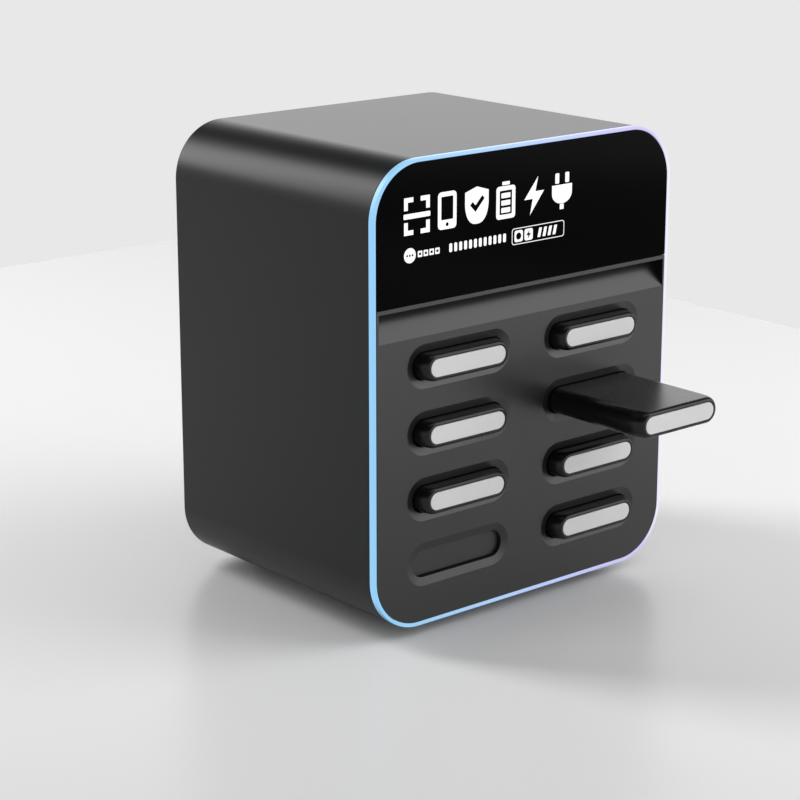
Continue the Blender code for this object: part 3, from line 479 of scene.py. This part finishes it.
def solder_mask():
    """Green lacquer over copper tracks, which show through as slightly lighter cells."""
    made, tree, shader = blank("green_solder_mask")
    place = add(tree, "ShaderNodeTexCoord").outputs["Object"]
    tracks = add(
        tree, "ShaderNodeTexVoronoi", {"Vector": place, "Scale": 1 / (3.5 * MM)}, distance="MANHATTAN",
    )
    shade = add(tree, "ShaderNodeMix", data_type="RGBA")
    tree.links.new(tracks.outputs["Distance"], shade.inputs["Factor"])
    shade.inputs["A"].default_value = tint("1B5A38")
    shade.inputs["B"].default_value = tint("0E3A24")
    tree.links.new(shade.outputs["Result"], shader.inputs["Base Color"])
    shader.inputs["Roughness"].default_value = 0.35
    return made


# The shell and the back cover: near black, with a soft sheen that a fine grain breaks up
BLACK_ABS = moulded("textured_black_abs", "141517", 0.33, 0.7, 0.006, 0.22)
# The slot wall: dark graphite, shinier than the shell, with lighter bevels round the slots
GRAPHITE_ABS = moulded("textured_graphite_abs", "171718", 0.32, 0.6, 0.006, 0.55)
# The flaps: a step lighter and duller than the wall round them
CHARCOAL_ABS = moulded("textured_charcoal_abs", "2C2C2D", 0.45, 0.6, 0.006, 0.4)
# The lit edge: an even glow from sky blue to lavender, with no bright spots
OPAL_ACRYLIC = light_guide()
# The header: deep black, with hardly any reflection
PRINTED_GLASS = printed_glass()
# The signs on the header: flat, even white
BACKLIT_WHITE = lit_graphic()
# The banks' casings: smooth black, with soft highlights along their round edges
BANK_BLACK = polished("semi_gloss_black_abs", "0F0F10", 0.28, 0.3)
# The banks' end plates: pale grey and evenly matt
PLATE_GREY = moulded("satin_light_grey_abs", "D3D4D3", 0.4, 0.5, 0.004)
# The banks' windows: darker and glossier than the casing round them
SMOKED_LENS = polished("smoked_polycarbonate", "08080A", 0.1)
# The bins and the fan: dull black
BIN_BLACK = moulded("black_polycarbonate", "161617", 0.6, 0.8, 0.01)
# The inlet and its rocker: matt black
NYLON_BLACK = moulded("black_glass_filled_nylon", "17171A", 0.5, 0.5, 0.01)
# The feet: the dullest black, with no highlight
FOOT_RUBBER = moulded("black_nitrile_rubber", "141414", 0.85, 0.6, 0.02, 0.3)
# The base, rack and shelf: cool grey metal with fine straight lines
ZINC_STEEL = rolled_steel("zinc_plated_steel", "B4B8BC", 0.35)
# The power supply's case: lighter and a little duller metal
FOLDED_ALUMINIUM = rolled_steel("folded_aluminium", "C2C4C8", 0.4)
# The screws: dark metal with a soft glint
BLACK_STEEL = rolled_steel("blackened_screw_steel", "3A3A3C", 0.4)
# The inlet's pins: warm, bright metal
NICKEL = rolled_steel("nickel_plated_brass", "C8C4B8", 0.25)
# The circuit boards: dark green, with slightly lighter cells of track
SOLDER_MASK = solder_mask()
# The speaker: dull, almost black
SPEAKER_PAPER = moulded("coated_speaker_paper", "1C1C1D", 0.8, 0.5, 0.02)


# ---- cabinet ----


def shell():
    """The sleeve: a wall's section, rounded at its front and back edges, carried round the outline."""
    front = RING_DEPTH + GAP
    rebate_inset = RING_FACE - SKIRT_WALL - GAP
    rebate_back = RING_DEPTH + SKIRT_DEPTH + 1.0 + 2 * GAP
    edge = 1.2
    profile = [(rebate_inset, front)]
    profile += fillet(0.25, front + 0.25, 0.25, 270, 180)
    profile += fillet(edge, DEPTH - edge, edge, 180, 90, 9)
    profile += [(SHELL_WALL - 0.2, DEPTH), (SHELL_WALL, DEPTH - 0.2), (SHELL_WALL, rebate_back)]
    profile += [(rebate_inset, rebate_back)]
    mesh = woven(cabinet(profile), endless=True)
    show("shell_moulding", mesh, BLACK_ABS, stands_for=["shell"])


def lit_edge():
    """The light guide: a narrow face and side, softly rounded between, with a thin skirt behind."""
    soft = 0.45
    skirt_inset = RING_FACE - SKIRT_WALL
    skirt_back = RING_DEPTH + SKIRT_DEPTH
    profile = fillet(soft, soft, soft, 270, 180, 7)
    profile += [(0, RING_DEPTH), (skirt_inset, RING_DEPTH), (skirt_inset, skirt_back)]
    profile += [(RING_FACE, skirt_back), (RING_FACE, 0.2), (RING_FACE - 0.2, 0)]
    mesh = woven(cabinet(profile), endless=True)
    show("lit_edge", mesh, OPAL_ACRYLIC, stands_for=["light_ring"])


def slot_room(x, z):
    """The room that a slot takes from the panel: a shallow bevel, a small round, then straight walls.

    The bevel's inset changes by its slope, spread over depth, times the depth still to go."""
    slope = BEZEL_SPREAD / BEZEL_DEPTH
    bevel_end = BEZEL_DEPTH - 0.07
    profile = [(-slope * (BEZEL_DEPTH + 0.5), -0.5), (-slope * (BEZEL_DEPTH - bevel_end), bevel_end)]
    profile += [(-0.2, 0.98), (-0.07, 1.07), (0, 1.3), (0, PANEL_WALL + 1)]
    radius = OPENING[1] / 2 - 0.01
    return woven(layered(OPENING, radius, (x, z), profile, fine=20))


def front_panel():
    """Slot wall, groove, chin and glass frame in one moulding."""
    slope = GROOVE_DEPTH / (GROOVE_TOP - GROOVE_LOW)
    inner_crease = GROOVE_LOW - PANEL_WALL * (math.sqrt(1 + slope**2) - 1) / slope
    inner_back = GROOVE_DEPTH + PANEL_WALL
    inner_corner = inner_crease + GROOVE_DEPTH / slope
    ledge = GROOVE_TOP + LEDGE_WALL
    chin_top = GROOVE_TOP + CHIN_HEIGHT
    past = 10
    section = np.array([
        (0, -past), (0, chin_top), (GLASS_SEAT, chin_top), (GLASS_SEAT, HEIGHT + past),
        (GLASS_FRAME_BACK, HEIGHT + past), (GLASS_FRAME_BACK, ledge), (inner_back, ledge),
        (inner_back, inner_corner), (PANEL_WALL, inner_crease), (PANEL_WALL, -past),
    ]) + (0, FLOOR_Z)
    panel = woven(swept(section, -WIDTH / 2 - 5, WIDTH / 2 + 5))
    far_back = 30
    within = [(PANEL_INSET + 0.3, -1), (PANEL_INSET + 0.2, 0.02)]
    within += [(PANEL_INSET, 0.25), (PANEL_INSET, far_back)]
    panel = carved(panel, woven(cabinet(within)), "INTERSECT")
    inner = SHELL_WALL + GAP
    behind = [(-8, PANEL_WALL), (-8, far_back + 1), (inner, far_back + 1), (inner, PANEL_WALL)]
    panel = carved(panel, woven(cabinet(behind), endless=True))
    ahead = 2.0
    wedge = np.array([
        (-ahead, GROOVE_LOW - ahead / slope), (GROOVE_DEPTH, GROOVE_TOP), (-ahead, GROOVE_TOP),
    ]) + (0, FLOOR_Z)
    reach = WIDTH / 2 - PANEL_INSET - CHEEK_WALL
    panel = carved(panel, woven(swept(wedge, -reach, reach)))
    rooms = [slot_room(x, z) for x in COLUMN_X.values() for z in ROW_Z]
    panel = carved(panel, gathered(rooms))
    show("front_panel_moulding", panel, GRAPHITE_ABS, stands_for=["front_panel"], crease=10)


def header_glass():
    """A flat pane with the cabinet's corners above and nearly square ones below, its edges ground."""
    low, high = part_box("display_glass")
    size = ((high.x - low.x) / MM, (high.z - low.z) / MM)
    radii = (CORNER - PANEL_INSET, CORNER - PANEL_INSET, 0.8, 0.8)
    thickness = (high.y - low.y) / MM
    profile = [(0.22, 0), (0.07, 0.07), (0, 0.22), (0, thickness - 0.2), (0.2, thickness)]
    centre = (0, (low.z + high.z) / 2 / MM)
    mesh = woven(layered(size, radii, centre, profile, fine=24))
    show("header_glass", mesh, PRINTED_GLASS, stands_for=["display_glass"])


# ---- lit pictograms on the header ----


def bar(x, z, width, height, radius=0.0, fine=4):
    """A rounded rectangle's outline about (x, z)."""
    across, up = rounded([width], [height], max(radius, 0.05), (x, z), fine)
    return np.stack([across[0], up[0]], -1)


def disc(x, z, radius, sides=40):
    """A circle's outline about (x, z): radius times the cosine and sine of an even angle."""
    angle = np.linspace(0, 2 * np.pi, sides, endpoint=False)
    return np.stack([x + radius * np.cos(angle), z + radius * np.sin(angle)], -1)


def scan_sign():
    """Four corner brackets with a line across the middle."""
    bracket = np.array([(-8.4, 3.0), (-8.4, 9.4), (-2.4, 9.4), (-2.4, 7.0), (-6.0, 7.0), (-6.0, 3.0)])
    corners = [[bracket * (across, up)] for across in (1, -1) for up in (1, -1)]
    return corners + [[bar(0, 0, 17.5, 2.6, 0.6)]]


def phone_sign():
    """A phone with an open screen and a round button."""
    return [[bar(0, 0, 12.4, 19.0, 2.2), bar(0, 1.2, 8.0, 11.8, 0.5), disc(0, -7.1, 1.0, 16)]]


def shield_sign():
    """A shield: straight sides that close along a curve to the point below, with a tick cut out."""
    turn = np.linspace(0, 1, 12)
    right = np.stack([8.0 * np.cos(turn * np.pi / 2) ** 0.8, 1.5 - 11.0 * np.sin(turn * np.pi / 2)], -1)
    left = (right * (-1, 1))[::-1][1:]
    top = np.array([(-8.0, 7.2), (0, 9.6), (8.0, 7.2)])
    tick = np.array([(-4.6, 0.4), (-2.9, 2.1), (-0.9, 0.1), (3.6, 4.8), (5.3, 3.1), (-0.9, -3.4)])
    return [[np.concatenate([right, left, top]), tick]]


def battery_sign():
    """A battery's outline and cap, with three cells inside."""
    case = [bar(0, -1.0, 13.2, 17.0, 1.8), bar(0, -1.0, 8.6, 12.4, 0.5)]
    cells = [[bar(0, z, 6.2, 2.6, 0.3)] for z in (-5.0, -1.2, 2.6)]
    return [case, [bar(0, 8.9, 5.2, 1.8, 0.4)]] + cells


def bolt_sign():
    """A lightning bolt of six corners."""
    return [[np.array([(2.6, 9.8), (-7.0, -1.6), (-1.0, -1.6), (-2.8, -9.8), (7.0, 2.2), (0.8, 2.2)])]]


def plug_sign():
    """Two prongs on a body that narrows to its lead."""
    turn = np.linspace(0, np.pi, 14)
    under = np.stack([7.2 * np.cos(turn), -1.0 - 5.6 * np.sin(turn)], -1)
    body = np.concatenate([[(7.2, 3.4)], under, [(-7.2, 3.4)]])
    prongs = [[bar(x, 6.9, 2.8, 5.4, 0.6)] for x in (-3.6, 3.6)]
    return [[body], [bar(0, -8.2, 2.8, 2.8, 0.2)]] + prongs


def level_meter(z):
    """A round sign with three dots, four small open blocks, and twelve bars in a row."""
    dots = [disc(METER_X + x, z, 0.62, 16) for x in (-1.8, 0, 1.8)]
    shapes = [[disc(METER_X, z, 3.9)] + dots]
    blocks = [-76.2 + 3.9 * i for i in range(4)]
    shapes += [[bar(x, z, 3.0, 3.2, 0.3), bar(x, z, 1.5, 1.3)] for x in blocks]
    shapes += [[bar(-55.4 + 3.42 * i, z + 0.3, 2.0, 4.6, 0.7)] for i in range(12)]
    return shapes


def framed_signs(x, z):
    """A thin frame round two badges, a disc cut from one and a bolt from the other, and four strokes."""
    shapes = [[bar(x, z, 38.2, 8.8, 1.6), bar(x, z, 37.4, 8.0, 1.3)]]
    shapes += [[bar(x - 14.2, z, 6.0, 6.2, 1.2), disc(x - 14.2, z, 1.9, 24)]]
    small_bolt = bolt_sign()[0][0] * 0.26 + (x - 7.0, z)
    shapes += [[bar(x - 7.0, z, 6.0, 6.2, 1.2), small_bolt]]
    stroke = np.array([(-1.1, -2.5), (0.9, -2.5), (2.1, 2.5), (0.1, 2.5)])
    shapes += [[stroke + (x + 0.6 + 3.7 * i, z)] for i in range(4)]
    return shapes


def lit_figure(name, shapes):
    """Shows flat figures as lit print on the header."""
    show(name, inlay(shapes, SIGN_DEPTH, SIGN_THICKNESS), BACKLIT_WHITE)


def header_pictograms():
    """A heading of six large signs, and under it a level meter and a framed pair of signs."""
    signs = (scan_sign, phone_sign, shield_sign, battery_sign, bolt_sign, plug_sign)
    places = np.linspace(*HEADING_ENDS, len(signs))
    heading_z = FLOOR_Z + HEADING_HEIGHT
    for number, (sign, x) in enumerate(zip(signs, places), 1):
        shapes = [[loop * HEADING_SCALE + (x, heading_z) for loop in shape] for shape in sign()]
        lit_figure(f"header_sign_{number}", shapes)
    lit_figure("header_level_meter", level_meter(FLOOR_Z + METER_HEIGHT))
    lit_figure("header_framed_signs", framed_signs(FRAMED_X, FLOOR_Z + FRAMED_HEIGHT))


# ---- power banks ----


def bank_end(narrowing, thinning, pace):
    """Rows of depth from the end, width and height.

    Width and height both rise as quarter ellipses over the taper, the height by a faster pace."""
    share = np.linspace(0, 1, 18) ** 1.9
    side = 1 - np.sqrt(1 - (1 - share) ** 2)
    face = 1 - np.sqrt(1 - (1 - np.clip(pace * share, 0, 1)) ** 2)
    return np.stack([
        TAPER_LENGTH * share, BANK_WIDTH - 2 * narrowing * side, BANK_THICKNESS - 2 * thinning * face,
    ], -1)


def casing_rows():
    """A bank's rows from nose to tail, with the end plate's recess before them."""
    nose = bank_end(NOSE_NARROWING, NOSE_THINNING, NOSE_PACE)
    tail = bank_end(TAIL_NARROWING, TAIL_THINNING, TAIL_PACE)[::-1]
    tail[:, 0] = BANK_LENGTH - tail[:, 0]
    recess = (PLATE[0] + 2 * GAP, PLATE[1] + 2 * GAP)
    room = np.array([(PLATE_THICKNESS + GAP, *recess), (0.1, *recess)])
    return np.concatenate([room, nose, tail])


def bank_casing():
    """A pill section at each row, from the end plate's recess to the tail."""
    depth, width, height = casing_rows().T
    x, z = rounded(width, height, height / 2 - 0.02, (0, 0), 14)
    points = np.stack([x, np.broadcast_to(depth[:, None], x.shape), z], -1)
    return woven(points)


def on_side(layers, along):
    """Layers drawn facing the front, turned to face left and set along the bank."""
    return np.stack([layers[..., 1] - BANK_WIDTH / 2, layers[..., 0] + along, layers[..., 2]], -1)


def power_banks():
    """Every bank: casing, end plate, button and smoked window, about its own nose."""
    button_at = BANK_LENGTH - BUTTON_FROM_TAIL
    window_at = BANK_LENGTH - WINDOW_FROM_TAIL
    button_room = (BUTTON[0] + 2 * GAP, BUTTON[1] + 2 * GAP)
    button_floor = SIDE_SETBACK + BUTTON_THICKNESS + BUTTON_TRAVEL + GAP
    room = on_side(pill(button_room, (0, 0), [(0, -1), (0, button_floor)]), button_at)
    casing = carved(bank_casing(), woven(room))
    room = on_side(layered(WINDOW, WINDOW_CORNER, (0, 0), [(0, -1), (0, WINDOW_ROOM)]), window_at)
    casing = carved(casing, woven(room))
    plate = woven(pill(PLATE, (0, 0), [
        (0.28, 0), (0.1, 0.05), (0, 0.2), (0, PLATE_THICKNESS - 0.1), (0.1, PLATE_THICKNESS),
    ]))
    button = woven(on_side(pill(BUTTON, (0, 0), [
        (1.2, SIDE_SETBACK), (0.5, 0.26), (0.12, 0.42), (0, 0.7), (0, SIDE_SETBACK + BUTTON_THICKNESS),
    ]), button_at))
    lens_size = (WINDOW[0] - LENS_PLAY, WINDOW[1] - LENS_PLAY)
    lens = woven(on_side(layered(lens_size, 0.3, (0, 0), [
        (0.15, 0.5), (0, 0.6), (0, 1.5),
    ], 6), window_at))
    for bank in BANKS:
        low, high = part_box(f"pack_casing_{bank}")
        home = Matrix.Translation(((low.x + high.x) / 2, low.y - FRONT, (low.z + high.z) / 2))
        pieces = (
            ("casing", casing, BANK_BLACK, f"power_bank_{bank}", "bank_casing"),
            ("end_plate", plate, PLATE_GREY, f"power_bank_{bank}", "bank_end_plate"),
            ("button", button, BANK_BLACK, f"button_{bank}", "bank_casing"),
        )
        for part, mesh, finish, body, slot in pieces:
            copy = mesh.copy()
            copy.transform(home)
            show(f"bank_{part}_{bank}", copy, finish, body, [f"pack_{part}_{bank}"])
        glass = lens.copy()
        glass.transform(home)
        show(f"bank_window_{bank}", glass, SMOKED_LENS, f"power_bank_{bank}")


# ---- back and underside ----


def grille_rows(x, z, count, pitch, width=None, reach=None):
    """Slots in rows; where a reach is given, each row is as long as that circle allows."""
    rooms = []
    for height in (np.arange(count) - (count - 1) / 2) * pitch:
        span = width or 2 * math.sqrt(reach**2 - height**2)
        profile = [(0, COVER_FRONT - 1), (0, COVER_BACK - 0.35), (-0.35, COVER_BACK), (-0.6, COVER_BACK + 1)]
        rooms.append(woven(pill((span, GRILLE_SLOT), (x, z + height), profile, 6)))
    return rooms


def back_cover():
    """A flat plate inside the shell, with its vents, slots for fan and speaker, and the inlet's cut-out."""
    soft = 0.5
    profile = [(SHELL_WALL + GAP, COVER_FRONT), (SHELL_WALL + GAP, COVER_BACK - soft)]
    profile += fillet(SHELL_WALL + GAP + soft, COVER_BACK - soft, soft, 180, 90, 4)
    plate = woven(cabinet(profile))
    fan, speaker, inlet = middle("fan_frame"), middle("speaker"), middle("power_inlet")
    fan_rows = 2 * int((FAN_BORE - GRILLE_SLOT) / GRILLE_PITCH) + 1
    rooms = grille_rows(fan.x, fan.z, fan_rows, GRILLE_PITCH, reach=FAN_BORE)
    rooms += grille_rows(VENT_X, fan.z, VENT_ROWS, GRILLE_PITCH, width=VENT_WIDTH)
    rooms += grille_rows(speaker.x, speaker.z, SPEAKER_ROWS, SPEAKER_PITCH, reach=SPEAKER_REACH)
    cut = [(0, COVER_FRONT - 1), (0, COVER_BACK + 1)]
    rooms.append(woven(layered(INLET_CUT, 1, (inlet.x, inlet.z), cut, 4)))
    cover = carved(plate, gathered(rooms))
    show("back_cover_moulding", cover, BLACK_ABS, stands_for=["back_cover"])


def screws():
    """Pan-head screws with a cross recess, round the back cover and on the fan's corners."""
    head = [(0, 1.9), (1.2, 1.82), (2.1, 1.5), (2.7, 0.9), (2.9, 0.3), (2.9, 0.02), (0, 0.02)]
    fan = middle("fan_frame")
    places = [(across * SIDE_SCREWS_X, FLOOR_Z + z) for across in (-1, 1) for z in SIDE_SCREWS_Z]
    places += [(TOP_SCREW[0], FLOOR_Z + TOP_SCREW[1])]
    places += [(across * LOW_SCREWS[0], FLOOR_Z + LOW_SCREWS[1]) for across in (-1, 1)]
    places += [(fan.x + across * FAN_SCREWS, fan.z + up * FAN_SCREWS) for across in (-1, 1) for up in (-1, 1)]
    for number, (x, z) in enumerate(places, 1):
        mesh = woven(turned([(max(r, 0.01), h) for r, h in head], (x, COVER_BACK, z), (0, 1, 0), 32))
        arms = [
            woven(layered(size, 0.15, (x, z), [(0, COVER_BACK + 0.9), (0, COVER_BACK + 3)], 2))
            for size in ((3.0, 0.7), (0.7, 3.0))
        ]
        for arm in arms:
            mesh = carved(mesh, arm)
        show(f"cover_screw_{number}", mesh, BLACK_STEEL)


def power_inlet():
    """The mains inlet: a soft-edged flange, a body behind it, a socket with pins, and the rocker's well."""
    low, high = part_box("power_inlet")
    x, z = (low.x + high.x) / 2 / MM, (low.z + high.z) / 2 / MM
    back = (high.y - FRONT) / MM
    flange_front = back - INLET_FLANGE_WALL
    size = ((high.x - low.x) / MM, (high.z - low.z) / MM)
    soft = 0.7
    profile = [(0, flange_front), (0, back - soft)] + fillet(soft, back - soft, soft, 180, 90, 6)[1:]
    body = woven(layered(size, 2, (x, z), profile, 6))
    reach = [(0, (low.y - FRONT) / MM), (0, flange_front + 0.5)]
    module = woven(layered(INLET_MODULE, 0.3, (x, z), reach, 2))
    body = carved(body, module, "UNION")
    socket_z = z - SOCKET_DROP
    mouth = [(0, back - SOCKET_DEPTH), (0, back - 0.5), (-0.5, back), (-1.0, back + 1)]
    body = carved(body, woven(layered(SOCKET, SOCKET_CORNERS, (x, socket_z), mouth, 5)))
    well = [(0, back - WELL_DEPTH), (0, back - 0.3), (-0.3, back), (-0.8, back + 1)]
    body = carved(body, woven(layered(WELL, 0.4, (x, z + WELL_RISE), well, 3)))
    show("inlet_moulding", body, NYLON_BLACK, stands_for=["power_inlet"])
    for number, (across, up) in enumerate(PIN_PLACES, 1):
        profile = [(0, back - 14.9), (0, back - 4.0), (0.5, back - 3.0)]
        pin = woven(layered(PIN, 0.3, (x + across, socket_z + up), profile, 3))
        show(f"inlet_pin_{number}", pin, NICKEL)


def feet():
    """Rubber feet: a turned profile with a soft lower edge and a shallow ring in the sole."""
    for end in ("front", "back"):
        for side in ("left", "right"):
            low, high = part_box(f"foot_{end}_{side}")
            centre = ((low.x + high.x) / 2 / MM, (low.y + high.y) / 2 / MM - FRONT / MM, 0)
            radius = (high.x - low.x) / 2 / MM
            top = high.z / MM
            profile = [(0.01, top), (radius, top), (radius, top - 1.1), (0.9 * radius, 1.2)]
            profile += [(0.865 * radius, 0.5), (0.83 * radius, 0.1), (0.79 * radius, 0)]
            profile += [(0.5 * radius, 0), (0.46 * radius, 0.3), (0.01, 0.3)]
            mesh = woven(turned(profile, centre, (0, 0, 1)))
            foot = f"foot_{end}_{side}"
            show(f"{foot}_pad", mesh, FOOT_RUBBER, stands_for=[foot])


# ---- CAD nodes that keep their shape ----


def dress(nodes, finish):
    """Gives CAD nodes a finish, and leaves their shape."""
    for name in nodes:
        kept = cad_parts[name]
        kept.data.materials.clear()
        kept.data.materials.append(finish)


def kept_nodes():
    """The inside and the rocker: the finish that each kept node gets."""
    nodes = list(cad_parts)
    dress([n for n in nodes if n.startswith("slot_bin")], BIN_BLACK)
    dress([n for n in nodes if n.startswith("slot_flap")], CHARCOAL_ABS)
    dress(["fan_frame", "fan_rotor"], BIN_BLACK)
    dress(["base_plate", "rack_plate", "electronics_shelf"], ZINC_STEEL)
    dress(["charging_board_left", "charging_board_right"], SOLDER_MASK)
    dress(["main_board", "led_strip", "display_module"], SOLDER_MASK)
    dress(["power_supply"], FOLDED_ALUMINIUM)
    dress(["speaker"], SPEAKER_PAPER)
    dress(["rocker_switch"], NYLON_BLACK)


# ---- camera, floor and lights ----


def camera():
    """A long lens from the front left, a little above the cabinet."""
    data = bpy.data.cameras.new("camera")
    data.sensor_width = 36
    data.lens = 104.15
    made = bpy.data.objects.new("camera", data)
    made.location = (-0.829863, -0.915338, 0.454830)
    made.rotation_euler = Vector((0.62588, 0.73068, -0.27274)).to_track_quat("-Z", "Y").to_euler()
    bpy.context.scene.collection.objects.link(made)
    bpy.context.scene.camera = made


def floor():
    """A pale, softly glossy table top that ends behind and to the right of the cabinet."""
    corners = [
        (TABLE_REACH, TABLE_REACH), (TABLE_RIGHT, TABLE_REACH),
        (TABLE_RIGHT, TABLE_BACK), (TABLE_REACH, TABLE_BACK),
    ]
    mesh = bpy.data.meshes.new("floor")
    mesh.from_pydata([(x, y, 0) for x, y in corners], [], [(0, 1, 2, 3)])
    made, _, shader = blank("pale_floor")
    shader.inputs["Base Color"].default_value = tint("F4F4F4")
    shader.inputs["Roughness"].default_value = 0.3
    shader.inputs["Specular IOR Level"].default_value = 0.3
    mesh.materials.append(made)
    table = bpy.data.objects.new("floor", mesh)
    bpy.context.scene.collection.objects.link(table)


def softbox(name, at, towards, size, power):
    """A rectangular area light, its power given for each square metre of its face."""
    data = bpy.data.lights.new(name, "AREA")
    data.shape = "RECTANGLE"
    data.size, data.size_y = size
    data.energy = power * size[0] * size[1]
    made = bpy.data.objects.new(name, data)
    made.location = at
    made.rotation_euler = (Vector(towards) - Vector(at)).to_track_quat("-Z", "Y").to_euler()
    bpy.context.scene.collection.objects.link(made)


def studio():
    """A pale room, bright round the horizon and dim overhead.

    A key light and a low one stand in front, two behind and one overhead."""
    world = bpy.data.worlds.new("studio")
    bpy.context.scene.world = world
    world.use_nodes = True
    tree = world.node_tree
    outward = add(tree, "ShaderNodeTexCoord").outputs["Generated"]
    up = add(tree, "ShaderNodeSeparateXYZ", {"Vector": outward})
    stops = ((0.0, "E8E8E8"), (0.05, "FFFFFF"), (0.28, "F4F4F4"), (0.42, "303030"))
    sky = graded(tree, up.outputs["Z"], stops)
    tree.links.new(sky, tree.nodes["Background"].inputs["Color"])
    softbox("key", (1.05, -0.95, 1.2), (0, 0, 0.1), (1.2, 1.4), 8)
    softbox("low_front", (0.75, -1.05, 0.26), (0, 0, 0.12), (1.3, 0.5), 6)
    softbox("behind_left", (-0.9, 1.6, 1.4), (0, 0, 0.15), (0.6, 1.8), 28)
    softbox("behind_right", (1.95, 2.3, 1.15), (0, 0, 0.2), (2.6, 1.1), 3.7)
    softbox("overhead", (0.2, -0.4, 2.0), (0, -0.2, 0), (1.4, 1.4), 3)
    bpy.context.scene.view_settings.view_transform = "Standard"


camera()
floor()
studio()
shell()
lit_edge()
front_panel()
header_glass()
header_pictograms()
power_banks()
back_cover()
screws()
power_inlet()
feet()
kept_nodes()
